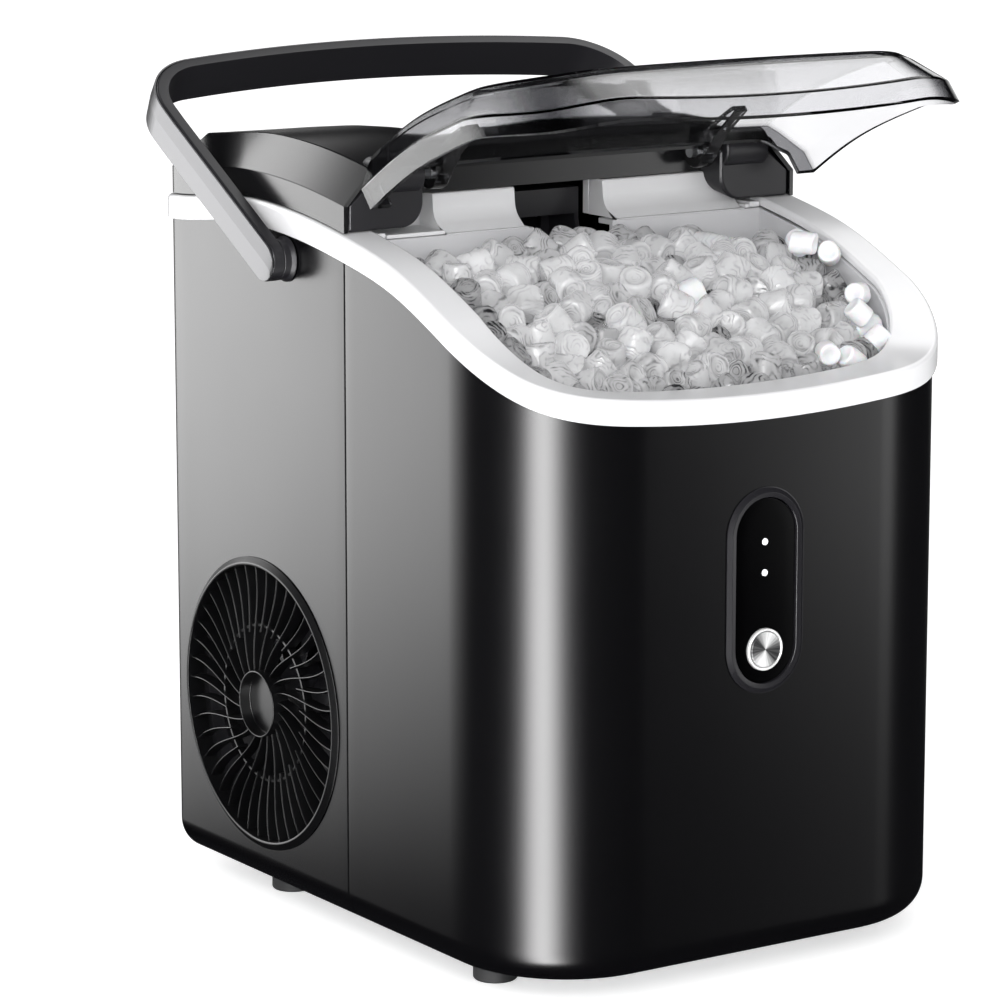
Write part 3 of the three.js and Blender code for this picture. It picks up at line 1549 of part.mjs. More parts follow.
// The handle is modelled flat, with its arms along +Y and its width along Z, and leans back on its pivots.
const handleSwing = new THREE.Group();
handleSwing.position.set(0, pivotY, pivotZ);
handleSwing.rotation.x = handle.lean * degrees;
machine.add(handleSwing);
add("handle_frame", handleFrame(), satinBlack, handleSwing);
add("handle_skin", handleSkin(), silver, handleSwing);

add("fan_grille", aimed(fanGrille(), "X").scale(-1, 1, 1).translate(...fanPlace(0)), satinBlack);
add("fan_shroud", fanShroud(), satinBlack);
add("fan_motor", fanMotor(), sheetSteel);
add("fan_rotor", fanRotor(), satinBlack);
add("condenser", condenser(), copper);

add("compressor", compressor(), satinBlack);
grommetPlaces().forEach((place, i) => add("compressor_grommet_" + (i + 1), grommet(place), rubberBlack));
add("ice_barrel", iceBarrel(), foamGrey);
add("auger", auger(), spunSteel);
add("gear_motor", gearMotor(), sheetSteel);
add("ice_outlet", iceOutlet(), satinBlack);
add("water_tank", waterTank(), clearPlastic);
add("water_pump", waterPump(), satinBlack);
const { suction, discharge, hose } = pipes();
add("suction_pipe", suction, copper);
add("discharge_pipe", discharge, copper);
add("water_hose", hose, clearPlastic);

add("control_bezel", controlBezel(), satinBlack);
add("control_glass", controlGlass(), blackGlass);
add("control_board", controlBoard(), boardGreen);
["light_upper", "light_lower"].forEach((name, i) => add(name, ledLens(lightHeights[i]), litWhite));
add("button_ring", buttonRing(), spunSteel);
add("button", buttonCap(), spunSteel);

add("drain_cap", drainCap(), satinBlack);
add("power_inlet", powerInlet(), satinBlack);

const part = new THREE.Group();
part.add(machine);
export default part;
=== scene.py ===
"""The ice maker's visual model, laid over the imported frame: shells, trim, clear lid, ice and finishes.

Shapes are worked out in millimetres on the machine's own plan, centred on its outline, and placed() turns
them into the frame's metres.
"""
import math
import random
from collections import namedtuple

import bmesh
import bpy
from mathutils import Euler, Matrix, Vector, noise
from mathutils.kdtree import KDTree


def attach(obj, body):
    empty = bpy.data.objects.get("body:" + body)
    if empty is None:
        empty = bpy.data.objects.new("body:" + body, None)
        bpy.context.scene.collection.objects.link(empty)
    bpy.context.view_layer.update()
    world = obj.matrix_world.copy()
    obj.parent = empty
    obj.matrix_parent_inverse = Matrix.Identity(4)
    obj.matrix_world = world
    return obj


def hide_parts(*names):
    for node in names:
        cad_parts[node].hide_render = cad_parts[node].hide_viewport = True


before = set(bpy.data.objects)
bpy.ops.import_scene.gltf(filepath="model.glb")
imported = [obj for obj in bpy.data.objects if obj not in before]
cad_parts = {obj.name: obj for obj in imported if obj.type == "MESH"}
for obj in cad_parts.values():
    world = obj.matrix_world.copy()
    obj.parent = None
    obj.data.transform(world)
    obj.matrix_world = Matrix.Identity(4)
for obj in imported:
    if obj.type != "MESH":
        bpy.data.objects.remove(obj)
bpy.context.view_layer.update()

# ---------------------------------------------------------------- sizes, millimetres

MM = 0.001
STAND_FORWARD = 5.0  # the machine's middle lies this far in front of the frame's origin
CLEARANCE = 0.3
WIDTH, DEPTH = 224.0, 272.6
HALF_WIDTH, HALF_DEPTH = WIDTH / 2, DEPTH / 2
FRONT_RADIUS, REAR_RADIUS = 55.4, 6.5
WALL = 2.4
SEAM_Y = -5.8
FOOT_HEIGHT = 8.0
BASE_FILLET, BASE_LIP = 14.0, 16.0

RIM_FRONT, RIM_CORNER_START, RIM_CORNER_MIDDLE, RIM_CORNER_END = 236.7, 239.3, 246.1, 267.9
RIM_MID_SIDE, RIM_SEAM, RIM_SHOULDER, RIM_CREST, RIM_REAR = 283.4, 292.0, 297.8, 299.3, 294.5

TRIM_PROUD, TRIM_HEIGHT, TRIM_FLANGE, TRIM_SKIRT = 2.0, 10.3, 3.6, 1.7
TRIM_SIDE_WIDTH, TRIM_FRONT_WIDTH = 15.5, 22.0

BASIN_REAR_Y, BASIN_FLOOR, BASIN_DRAFT, BASIN_FILLET = -3.0, 118.0, 4.0, 14.0
BASIN_WALL, BASIN_FLAT, BASIN_LIP, BASIN_LIP_THICK = 2.2, 24.0, 9.0, 2.0
BASIN_MIDDLE = (0.0, -60.0)
CHUTE_HALF, CHUTE_FRONT_Z = 19.0, 264.0
TRAY_GAP, TRAY_TOP, TRAY_WALL, TRAY_DRAFT, TRAY_FILLET, TRAY_FLAT = 6.0, 222.0, 1.8, 5.0, 12.0, 22.0
SLOT_REACH, SLOT_HALF, SLOT_FRONT_Y, SLOT_REAR_Y = 60.0, 3.0, -96.0, -24.0

BACK_TOP, BACK_CREASE, BACK_FOOT, BACK_RIB_TOP = 304.0, 294.0, 286.5, 291.0
BACK_TOP_Y, BACK_CREASE_Y, BACK_FOOT_Y, BACK_DEEP = 7.0, 6.0, -3.5, 14.0
BACK_CHUTE, BACK_OUTER, BACK_RIB, BACK_RIB_THICK, BACK_DECK = 22.0, (62.0, 88.0), 96.0, 5.0, 4.0

COVER_BAND, COVER_EDGE_IN, COVER_TOP = 11.0, 13.0, 25.5
COVER_DISH, COVER_DISH_HALF, COVER_WALL, COVER_SPINE_Y = 5.5, 58.0, 1.8, HALF_DEPTH - 60.0
COVER_SHARES = (0.93, 0.85, 0.75, 0.62, 0.5, 0.38, 0.25, 0.12, 0.0)
COVER_FRONT_Y, COVER_FRONT_HALF = 8.5, 98.0  # the wall that closes the cover behind the hinge

LID_HALF, LID_FRONT, LID_RADIUS, LID_REAR_Y, LID_WALL = 110.0, 133.1, 46.9, -10.2, 2.2
LID_SEAT, LID_BAND, LID_CHAMFER_IN, LID_CHAMFER_DROP, LID_EDGE_IN = 0.9, 10.0, 8.5, 4.5, 13.0
LID_TOP, LID_CROWN, LID_FLANGE, LID_OPEN, LID_SPINE_Y = 27.0, 1.6, 9.0, 42.4, -75.0
LID_SHARES = (0.94, 0.87, 0.78, 0.66, 0.53, 0.4, 0.26, 0.13, 0.0)

HINGE_Y, HINGE_Z, HINGE_EYE, HINGE_PIN = -1.0, 314.0, 7.0, 2.6
ARM_INNER, ARM_THICK, ARM_TIP_Y, BLOCK_INNER, BLOCK_DEEP = 62.8, 7.0, -34.0, 74.0, 20.0
KNUCKLE_RADIUS, KNUCKLE_INNER, KNUCKLE_OUTER = 8.0, 75.0, 97.0

PIVOT_Y, PIVOT_Z, HANDLE_LEAN = 39.0, 277.5, 29.8
HANDLE_INNER, HANDLE_OUTER, HANDLE_SKIN = 117.6, 124.0, 1.0
HANDLE_REACH, HANDLE_ARCH, HANDLE_BAR, HANDLE_CORNER = 129.0, 6.5, 5.1, 32.0
HANDLE_HALF, HANDLE_BAR_HALF, HANDLE_BAR_LIFT, HANDLE_BOSS, HANDLE_PIN = 8.5, 8.8, 1.2, 8.4, 3.2

FAN_Y, FAN_Z, FAN_OPENING, FAN_FLANGE, FAN_HUB = 62.4, 87.25, 58.5, 62.0, 14.1
FAN_HUB_PROUD, FAN_SWEEP, FAN_HUMP, FAN_MID = 2.7, 20.0, 2.5, 33.0
FAN_VANES, VANE_THICK, VANE_DEEP = 21, 1.3, 5.0
VENT_ROWS, VENT_PITCH, VENT_HALF_HIGH, VENT_END = 5, 14.0, 2.0, 1.9
VENT_SIDE_HALF, VENT_REAR_HALF, VENT_REAR_RISE = 42.0, 55.0, 40.0

PANEL_Z, PANEL_WIDTH, PANEL_HEIGHT, PANEL_BORDER, PANEL_PROUD = 158.1, 37.8, 82.7, 4.1, 1.4
BUTTON_Z, RING_RADIUS, CAP_RADIUS = 134.4, 8.44, 7.1
LED_HEIGHTS, LED_RADIUS = (177.5, 165.1), 1.3

DRAIN_X, DRAIN_Z, DRAIN_RADIUS, DRAIN_HOLE, DRAIN_FLUTES = -70.0, 44.0, 9.0, 6.0, 18
INLET_X, INLET_Z, INLET_WIDTH, INLET_HEIGHT, INLET_WALL = 72.0, 44.0, 27.0, 20.0, 2.5

NUGGET_RADIUS, NUGGET_COUNT, NUGGET_SHAPES, CLOUDY_SHARE, TOP_NUGGET_SIZE = 6.4, 580, 12, 0.03, 0.74
HEAP_DEEP, HEAP_HALF, HEAP_FRONT_Y, HEAP_REAR_Y, HEAP_SLOPE_RUN = 40.0, 92.0, -112.0, -13.0, 98.0
HEAP_LOW, HEAP_RISE, HEAP_RIPPLE, HEAP_UNDER_HINGE, HEAP_PASSES = 231.0, 56.5, 3.0, 7.0, 60
TOP_NUGGETS = (  # whiter ones that lie on top at the right
    (80, -52, 280), (88, -62, 276), (76, -60, 281), (86, -84, 262),
    (80, -92, 256), (55, -104, 243), (64, -108, 240), (84, -100, 246),
)

CUT_OUT, CUT_IN = 5.0, 8.0  # how far a cut starts outside a wall's face and ends behind it
GLASS_CUT = (-250.0, -50.0)  # from in front of the panel to behind it
SHARED_EDGE, WHOLE_EDGE = 0.49, 0.93  # how much of an edge an arc takes beside a round or a sharp corner
ABOVE_ALL = 400.0
SIDES = (("left", -1), ("right", 1))


# ---------------------------------------------------------------- shader sums and finishes


class Value:
    """A shader socket that takes part in sums: 0.3 + 0.1 * grain adds its Math nodes."""

    def __init__(self, finish, socket):
        self.finish = finish
        self.socket = socket

    def math(self, operation, *others):
        return self.finish.node("ShaderNodeMath", {"operation": operation}, self, *others)

    def __add__(self, other):
        return self.math("ADD", other)

    __radd__ = __add__

    def __mul__(self, other):
        return self.math("MULTIPLY", other)

    __rmul__ = __mul__

    def __sub__(self, other):
        return self.math("SUBTRACT", other)

    def __rsub__(self, other):
        return self.finish.node("ShaderNodeMath", {"operation": "SUBTRACT"}, other, self)

    def __truediv__(self, other):
        return self.math("DIVIDE", other)

    def __pow__(self, other):
        return self.math("POWER", other)

    def clamped(self):
        return self.finish.node("ShaderNodeClamp", {}, self)

    def part(self, name):
        """Another output of the same node."""
        return Value(self.finish, self.socket.node.outputs[name])


class Finish:
    """A material round one Principled shader: constants go onto its sockets, and links through link()."""

    def __init__(self, name, **constants):
        self.name = name
        self.material = bpy.data.materials.new(name + "_finish")
        self.material.use_nodes = True
        self.tree = self.material.node_tree
        self.shader = self.tree.nodes["Principled BSDF"]
        for label, value in constants.items():
            socket = self.shader.inputs[label.replace("_", " ")]
            socket.default_value = (*value, 1.0) if socket.type == "RGBA" else value

    def link(self, label, value):
        self.tree.links.new(value.socket, self.shader.inputs[label])

    def node(self, kind, settings, *inputs, **named):
        """Adds a node: its settings first, then the values or links of its sockets in order or by name."""
        made = self.tree.nodes.new(kind)
        for key, setting in settings.items():
            if key == "stops":
                self.fill_ramp(made.color_ramp, setting)
            else:
                setattr(made, key, setting)
        sockets = dict(enumerate(inputs))
        sockets.update((key.replace("_", " "), value) for key, value in named.items())
        for key, value in sockets.items():
            if isinstance(value, Value):
                self.tree.links.new(value.socket, made.inputs[key])
            else:
                made.inputs[key].default_value = value
        return Value(self, next(socket for socket in made.outputs if socket.enabled))

    @staticmethod
    def fill_ramp(ramp, stops):
        while len(ramp.elements) < len(stops):
            ramp.elements.new(0.5)
        for element, (place, shade) in zip(ramp.elements, stops):
            element.position = place
            element.color = (shade, shade, shade, 1.0)

    def place(self):
        """The piece's own coordinates, in metres."""
        return self.node("ShaderNodeTexCoord", {}).part("Object")

    def stored(self, name, output="Fac"):
        """What the mesh stores at its points under a name."""
        return self.node("ShaderNodeAttribute", {"attribute_name": name}).part(output)

    def grain(self, scale, detail=2.0):
        """Noise between 0 and 1, with its scale in cycles per metre."""
        return self.node("ShaderNodeTexNoise", {}, Vector=self.place(), Scale=scale, Detail=detail)

    def blend(self, share, low, high):
        """A colour between two colours."""
        mixed = self.node("ShaderNodeMix", {"data_type": "RGBA"}, Factor=share)
        for index, shade in ((6, low), (7, high)):  # the mix node's two colour sockets
            mixed.socket.node.inputs[index].default_value = (*shade, 1.0)
        return mixed

    def bump(self, height, depth, strength):
        """Relief of the given depth in metres."""
        relief = self.node("ShaderNodeBump", {}, Height=height, Distance=depth, Strength=strength)
        self.link("Normal", relief)


def moulded(name, shade, roughness, relief=0.00003, scale=900.0, **constants):
    """Moulded plastic: an even colour, a slightly uneven gloss and a fine skin texture."""
    finish = Finish(name, Base_Color=shade, Roughness=roughness, **constants)
    broad = finish.grain(14.0)
    fine = finish.grain(scale, detail=3.0)
    finish.link("Roughness", roughness * (0.9 + 0.2 * broad) + 0.02 * (fine - 0.5))
    finish.bump(fine, relief, 0.35)
    return finish


def drifting(name, shade, roughness, relief, patches, low, high, **constants):
    """Moulded plastic whose colour drifts a little between two tones."""
    finish = moulded(name, shade, roughness, relief, **constants)
    finish.link("Base Color", finish.blend(finish.grain(patches), low, high))
    return finish


def gloss_black():
    return moulded("gloss_black", (0.0021, 0.002, 0.0026), 0.25, relief=0.00002)


def cover_black():
    return moulded("cover_black", (0.006, 0.006, 0.0068), 0.2, relief=0.00001)


def satin_black():
    return moulded("satin_black", (0.0155, 0.015, 0.018), 0.38, relief=0.00004, scale=1400.0)


def vane_black():
    return moulded("vane_black", (0.003, 0.003, 0.0035), 0.3, relief=0.00003, scale=1400.0)


def panel_ring():
    return moulded("panel_ring", (0.014, 0.0135, 0.016), 0.24, relief=0.00001)


def rubber_black():
    return moulded("rubber_black", (0.012, 0.012, 0.013), 0.75, relief=0.00006, scale=1800.0)


def foam_grey():
    return moulded("foam_grey", (0.05, 0.05, 0.055), 0.9, relief=0.0002, scale=700.0)


def clear_plastic():
    return moulded("clear_plastic", (0.86, 0.88, 0.9), 0.18, Transmission_Weight=0.7, IOR=1.46)


def white_gloss():
    return drifting("white_gloss", (0.86, 0.86, 0.87), 0.22, 0.00001, 9.0, (0.8, 0.8, 0.815),
                    (0.84, 0.84, 0.85), Coat_Weight=0.3, Coat_Roughness=0.08)


def liner_grey():
    return drifting("liner_grey", (0.62, 0.62, 0.635), 0.34, 0.00002, 11.0, (0.6, 0.6, 0.615),
                    (0.65, 0.65, 0.665))


# Painted light: the same liner plastic as liner_grey, in a lighter colour that stands in for the light on the
# panel behind the basin.
def liner_white():
    return drifting("liner_white", (0.8, 0.8, 0.81), 0.3, 0.00002, 11.0, (0.78, 0.78, 0.79),
                    (0.83, 0.83, 0.84))


def smoke_clear():
    """Clear plastic with a grey cast, and dark where the mesh stores a bend: painted shade on the lid, the
    arms' dark plastic round their pins.
    """
    finish = Finish("smoke_clear", IOR=1.49, Transmission_Weight=1.0)
    # The stored share paints shade on the lid and gives the arms' eyes their dark plastic.
    finish.link("Base Color", finish.blend(finish.stored("bend"), (0.92, 0.92, 0.935), (0.12, 0.12, 0.13)))
    finish.link("Roughness", 0.015 + 0.02 * finish.grain(30.0))
    return finish


def panel_black():
    finish = Finish("panel_black", Base_Color=(0.0006, 0.0006, 0.0008), Specular_IOR_Level=0.22)
    finish.link("Roughness", 0.06 + 0.04 * finish.grain(60.0))
    return finish


def silver_lacquer():
    finish = Finish("silver_lacquer", Metallic=0.6)
    flake = finish.grain(5200.0, detail=1.0)
    finish.link("Base Color", finish.blend(flake, (0.105, 0.105, 0.109), (0.135, 0.135, 0.139)))
    finish.link("Roughness", 0.3 + 0.06 * flake)
    finish.bump(flake, 0.00001, 0.3)
    return finish


def spun_steel():
    """Turned steel: the two opposite fans of light that its circular grooves spread about the button's axis
    are painted into the colour as highlights.
    """
    finish = Finish("spun_steel", Metallic=0.35)
    apart = finish.node("ShaderNodeSeparateXYZ", {}, finish.place())
    across, up = apart.part("X"), apart.part("Z") - BUTTON_Z * MM
    radius = (across * across + up * up) ** 0.5 + 0.00001
    # Painted highlight: two opposite fans at this lean, from near black to near white in the colour.
    lean = math.radians(73)
    painted_highlight_fan = (across * math.cos(lean) + up * math.sin(lean)) / radius
    around = finish.node("ShaderNodeCombineXYZ", {}, across / radius, 0.0, up / radius)
    streak = finish.node("ShaderNodeTexNoise", {}, Vector=around, Scale=9.0, Detail=3.0)
    share = ((painted_highlight_fan * painted_highlight_fan) ** 1.6 * (0.75 + 0.5 * streak) + 0.5 * (streak - 0.5)).clamped()
    finish.link("Base Color", finish.blend(share, (0.03, 0.03, 0.032), (0.98, 0.98, 0.98)))
    finish.link("Roughness", 0.25 + 0.1 * streak)
    return finish


def bright_steel():
    finish = Finish("bright_steel", Base_Color=(0.95, 0.95, 0.95), Metallic=0.25)
    finish.link("Roughness", 0.2 + 0.1 * finish.grain(300.0))
    return finish


def plain_metal(name, shade, roughness, metallic=1.0):
    finish = Finish(name, Base_Color=shade, Metallic=metallic, Roughness=roughness)
    wear = finish.grain(300.0, detail=4.0)
    finish.link("Roughness", roughness * (0.75 + 0.5 * wear))
    finish.link("Base Color", finish.blend(wear, tuple(0.85 * c for c in shade), shade))
    return finish


def sheet_steel():
    return plain_metal("sheet_steel", (0.42, 0.43, 0.44), 0.38)


def copper():
    return plain_metal("copper", (0.62, 0.27, 0.13), 0.34)


def painted_pot():
    return plain_metal("painted_pot", (0.02, 0.02, 0.022), 0.4, metallic=0.0)


def board_green():
    finish = moulded("board_green", (0.012, 0.07, 0.03), 0.4)
    tracks = finish.node("ShaderNodeTexBrick", {}, finish.place(), Scale=240.0, Mortar_Size=0.03)
    finish.link("Base Color", finish.blend(tracks.part("Fac"), (0.012, 0.07, 0.03), (0.03, 0.13, 0.06)))
    return finish


def lit_lens():
    finish = Finish("lit_lens", Base_Color=(0.9, 0.9, 0.9), Roughness=0.3, Emission_Strength=1.0)
    finish.link("Emission Color", finish.blend(finish.grain(900.0), (0.92, 0.94, 1.0), (1.0, 1.0, 1.0)))
    return finish


def clear_ice():
    """Chewable ice: frosted, with swirls of trapped air in each nugget, and painted shade where light hardly
    reaches: near the heap's border, below its surface and in a ring on each end.
    """
    # The faint emission is a painted glow that stands in for light scattered inside the ice; its colour is
    # linked below.
    finish = Finish("clear_ice", IOR=1.33, Transmission_Weight=0.62, Specular_IOR_Level=0.8,
                    Emission_Strength=0.09)
    own, dusk, tone = finish.stored("own_place", "Vector"), finish.stored("dusk"), finish.stored("tone")
    apart = finish.node("ShaderNodeSeparateXYZ", {}, own)
    x, y, z = apart.part("X"), apart.part("Y"), apart.part("Z")
    radius = (x * x + y * y) ** 0.5

    def cloud(spread, scale, detail):
        return finish.node("ShaderNodeTexNoise", {"noise_dimensions": "4D"}, Vector=own, W=tone * spread,
                           Scale=scale, Detail=detail)

    swirl, patch = cloud(90.0, 0.8, 1.0), cloud(50.0, 1.6, 2.0)
    turns = (radius * 24.0 + z * 12.0 + swirl * 46.0).math("SINE") * 0.5 + 0.5
    streak = turns ** 3 * ((patch - 0.42) * 5.0).clamped()
    # Painted shade: a dark ring round each nugget's end faces.
    end = ((z.math("ABSOLUTE") - 0.78) * 8.0).clamped()
    hollow = end * (1.0 - ((radius - 0.66).math("ABSOLUTE") * 7.0).clamped())
    # Painted shade: nuggets near the heap's border and deep in it turn dark here, and their streaks grow
    # stronger in the sums below.
    dark = ((dusk - 0.3) * 1.6).clamped()
    shade = (0.22 + 0.78 * dusk) * streak + 0.2 * hollow + 0.1 * tone + 0.62 * dark
    shade = (shade + 0.5 * dusk * (patch - 0.3)).clamped()
    finish.link("Base Color", finish.blend(shade, (0.95, 0.95, 0.955), (0.02, 0.02, 0.024)))
    # Painted glow for light scattered inside the ice, fading where the colour is painted dark.
    finish.link("Emission Color", finish.blend(shade, (0.9, 0.9, 0.92), (0.0, 0.0, 0.0)))
    finish.link("Roughness", 0.08 + 0.25 * patch)
    finish.bump(streak, 0.0003, 0.5)
    return finish


def cloudy_ice():
    """The whiter nuggets, frosted right through."""
    finish = Finish("cloudy_ice", Roughness=0.3, IOR=1.31, Subsurface_Weight=0.3, Subsurface_Scale=0.004)
    cloud = finish.grain(220.0, detail=3.0)
    finish.link("Base Color", finish.blend(cloud, (0.74, 0.75, 0.77), (0.92, 0.92, 0.93)))
    finish.link("Roughness", 0.2 + 0.25 * cloud)
    finish.bump(cloud, 0.0004, 0.5)
    return finish


FINISHES = {
    finish.name: finish.material
    for finish in (
        gloss_black(), cover_black(), satin_black(), vane_black(), panel_ring(), rubber_black(),
        foam_grey(), clear_plastic(), white_gloss(), liner_grey(), liner_white(), smoke_clear(),
        panel_black(), silver_lacquer(), spun_steel(), bright_steel(), sheet_steel(), copper(),
        painted_pot(), board_green(), lit_lens(), clear_ice(), cloudy_ice(),
    )
}

# ---------------------------------------------------------------- mesh helpers


def placed(x, y, z):
    """A point of the machine's plan, in the frame's metres."""
    return Vector((x, y - STAND_FORWARD, z)) * MM


def steps(start, end, pieces):
    return [start + (end - start) * i / pieces for i in range(pieces + 1)]


def unit(value):
    """The value, held between 0 and 1."""
    return min(1.0, max(0.0, value))


def eased(share):
    return share * share * (3 - 2 * share)


def rounded(corners, default_steps=4):
    """A closed outline of (x, y, radius[, steps]) corners with each corner turned into an arc."""
    outline = []
    for i, corner in enumerate(corners):
        x, y, radius = corner[:3]
        arc_steps = corner[3] if len(corner) > 3 else default_steps
        here = Vector((x, y))
        if not radius:
            outline.append((x, y))
            continue
        back = Vector(corners[i - 1][:2]) - here
        ahead = Vector(corners[(i + 1) % len(corners)][:2]) - here
        half = back.angle(ahead) / 2
        before, after = corners[i - 1], corners[(i + 1) % len(corners)]
        reach = min(radius / math.tan(half), *(
            edge.length * (SHARED_EDGE if len(other) > 2 and other[2] > 1 else WHOLE_EDGE)
            for edge, other in ((back, before), (ahead, after))
        ))
        start = here + back.normalized() * reach
        end = here + ahead.normalized() * reach
        middle = here + (back.normalized() + ahead.normalized()).normalized() * (reach / math.cos(half))
        a, b = start - middle, end - middle
        angle = a.angle(b)
        for t in steps(0.0, 1.0, arc_steps):
            spot = middle + (a * math.sin((1 - t) * angle) + b * math.sin(t * angle)) / math.sin(angle)
            outline.append((spot.x, spot.y))
    return outline


def skin(rings, loop_along=False, loop_round=True, caps=True):
    """A grid laid over rows of points: each ring is one section, and the rings follow each other."""
    across, along = len(rings[0]), len(rings)
    columns = across if loop_round else across - 1
    rows = along if loop_along else along - 1
    bm = bmesh.new()
    bmesh.ops.create_grid(bm, x_segments=columns, y_segments=rows, size=0.5)
    bm.verts.ensure_lookup_table()
    for index, vert in enumerate(bm.verts):
        row, column = divmod(index, columns + 1)
        vert.co = rings[row % along][column % across]
    bmesh.ops.remove_doubles(bm, verts=bm.verts, dist=2e-6)
    bmesh.ops.dissolve_degenerate(bm, dist=1e-6, edges=bm.edges)
    if caps and loop_round and not loop_along:
        bmesh.ops.holes_fill(bm, edges=[e for e in bm.edges if e.is_boundary], sides=0)
    if caps:
        bmesh.ops.recalc_face_normals(bm, faces=bm.faces)
    return bm


def as_mesh(bm, name):
    """Turns bm into a mesh of that name, and uses bm up."""
    mesh = bpy.data.meshes.new(name)
    bm.to_mesh(mesh)
    bm.free()
    return mesh


def shown(name, data):
    """A new object in the scene."""
    made = bpy.data.objects.new(name, data)
    bpy.context.scene.collection.objects.link(made)
    return made


def merged(*parts):
    """Several meshes as one."""
    whole = parts[0]
    for part in parts[1:]:
        mesh = as_mesh(part, "merging")
        whole.from_mesh(mesh)
        bpy.data.meshes.remove(mesh)
    return whole


def thickened(bm, wall):
    """A closed wall of the given thickness under an open skin, which stays the outer face."""
    bmesh.ops.recalc_face_normals(bm, faces=bm.faces)
    if sum(face.normal.z * face.calc_area() for face in bm.faces) < 0:
        bmesh.ops.reverse_faces(bm, faces=bm.faces)
    bmesh.ops.solidify(bm, geom=bm.faces[:], thickness=wall * MM)
    if bm.calc_volume(signed=True) < 0:
        bmesh.ops.reverse_faces(bm, faces=bm.faces)
    return bm


def moved(bm, matrix):
    bmesh.ops.transform(bm, matrix=matrix, verts=bm.verts)
    return bm


def mirrored(bm):
    """The same piece on the other side of the machine."""
    bmesh.ops.scale(bm, vec=(-1, 1, 1), verts=bm.verts)
    bmesh.ops.recalc_face_normals(bm, faces=bm.faces)
    return bm


def carved(bm, *tools, crossing=False):
    """bm with the tools' shapes cut away; crossing tells that bm may cross itself."""
    objects = [shown("carving", as_mesh(part, "carving")) for part in (bm, *tools)]
    target = objects[0]
    for tool in objects[1:]:
        modifier = target.modifiers.new("cut", "BOOLEAN")
        modifier.operation = "DIFFERENCE"
        modifier.solver = "EXACT"
        modifier.use_self = crossing
        modifier.object = tool
    view = bpy.context.evaluated_depsgraph_get()
    view.update()
    result = bmesh.new()
    result.from_mesh(target.evaluated_get(view).to_mesh())
    for made in objects:
        mesh = made.data
        bpy.data.objects.remove(made)
        bpy.data.meshes.remove(mesh)
    return result


def extruded(axis, outline, start, end):
    """A prism on a closed outline, whose coordinates are those that the axis leaves: y and z for X."""
    order = {
        "X": lambda a, b, c: (c, a, b),
        "Y": lambda a, b, c: (a, c, b),
        "Z": lambda a, b, c: (a, b, c),
    }[axis]
    return skin([[placed(*order(a, b, at)) for a, b in outline] for at in (start, end)])


def turned(axis, centre, profile, segments):
    """A lathe piece spun about an axis through centre. profile is (radius, distance along the axis) pairs."""
    bm = bmesh.new()
    verts = [bm.verts.new((radius * MM, 0, along * MM)) for radius, along in profile]
    edges = [bm.edges.new(pair) for pair in zip(verts, verts[1:])]
    bmesh.ops.spin(bm, geom=verts + edges, cent=(0, 0, 0), axis=(0, 0, 1), angle=2 * math.pi, steps=segments,
                   use_merge=True, use_duplicate=False)
    bmesh.ops.remove_doubles(bm, verts=bm.verts, dist=1e-6)
    bmesh.ops.recalc_face_normals(bm, faces=bm.faces)
    turn = {
        "X": Matrix(((0, 0, 1), (1, 0, 0), (0, 1, 0))).to_4x4(),
        "Y": Matrix(((1, 0, 0), (0, 0, 1), (0, -1, 0))).to_4x4(),
        "Z": Matrix.Identity(4),
    }[axis]
    return moved(bm, Matrix.Translation(placed(*centre)) @ turn)


def round_bar(axis, centre, radius, start, end, segments):
    return turned(axis, centre, [(0, start), (radius, start), (radius, end), (0, end)], segments)


def softened(corners, steps_each=3):
    """An open lathe profile with (radius, along, bend) points turned into arcs; the ends stay sharp."""
    points = [tuple(corners[0][:2])]
    for before, corner, after in zip(corners, corners[1:], corners[2:]):
        if len(corner) < 3 or not corner[2]:
            points.append(tuple(corner[:2]))
            continue
        arc = rounded([(*before[:2], 0), (*corner[:3], steps_each), (*after[:2], 0)])
        points.extend(arc[1:-1])
    return points + [tuple(corners[-1][:2])]


def roof_points(edge, spine_y, shares, height):
    """A roof's points from a spot on its edge in to the machine's middle, at height(x, y)."""
    spots = [(edge[0] * share, spine_y + (edge[1] - spine_y) * share) for share in shares]
    return [placed(x, y, height(x, y)) for x, y in spots]


def finished(bm, name, finish, body="housing", replaces=(), crease=32.0, bevel=0.0):
    """Makes the piece, with its finish and its body, and hides the frame's nodes that it stands for."""
    mesh = as_mesh(bm, name)
    mesh.materials.append(FINISHES[finish])
    for polygon in mesh.polygons:
        polygon.use_smooth = True
    mesh.set_sharp_from_angle(angle=math.radians(crease))
    piece = shown(name, mesh)
    if bevel:
        edge = piece.modifiers.new("soft edges", "BEVEL")
        edge.width = bevel * MM
        edge.segments = 2
        edge.limit_method = "ANGLE"
        edge.angle_limit = math.radians(38)
    even = piece.modifiers.new("even shading", "WEIGHTED_NORMAL")
    even.keep_sharp = True
    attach(piece, body)
    if replaces:
        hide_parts(*replaces)


# ---------------------------------------------------------------- plan outline and rim curve

Station = namedtuple("Station", "x y nx ny run sink", defaults=(0.0,))

CORNER_Y = FRONT_RADIUS - HALF_DEPTH
REAR_CORNER_Y = HALF_DEPTH - REAR_RADIUS
RUN_CORNER_START = HALF_WIDTH - FRONT_RADIUS
RUN_CORNER_END = RUN_CORNER_START + FRONT_RADIUS * math.pi / 2


def side_run(y):
    return RUN_CORNER_END + y - CORNER_Y


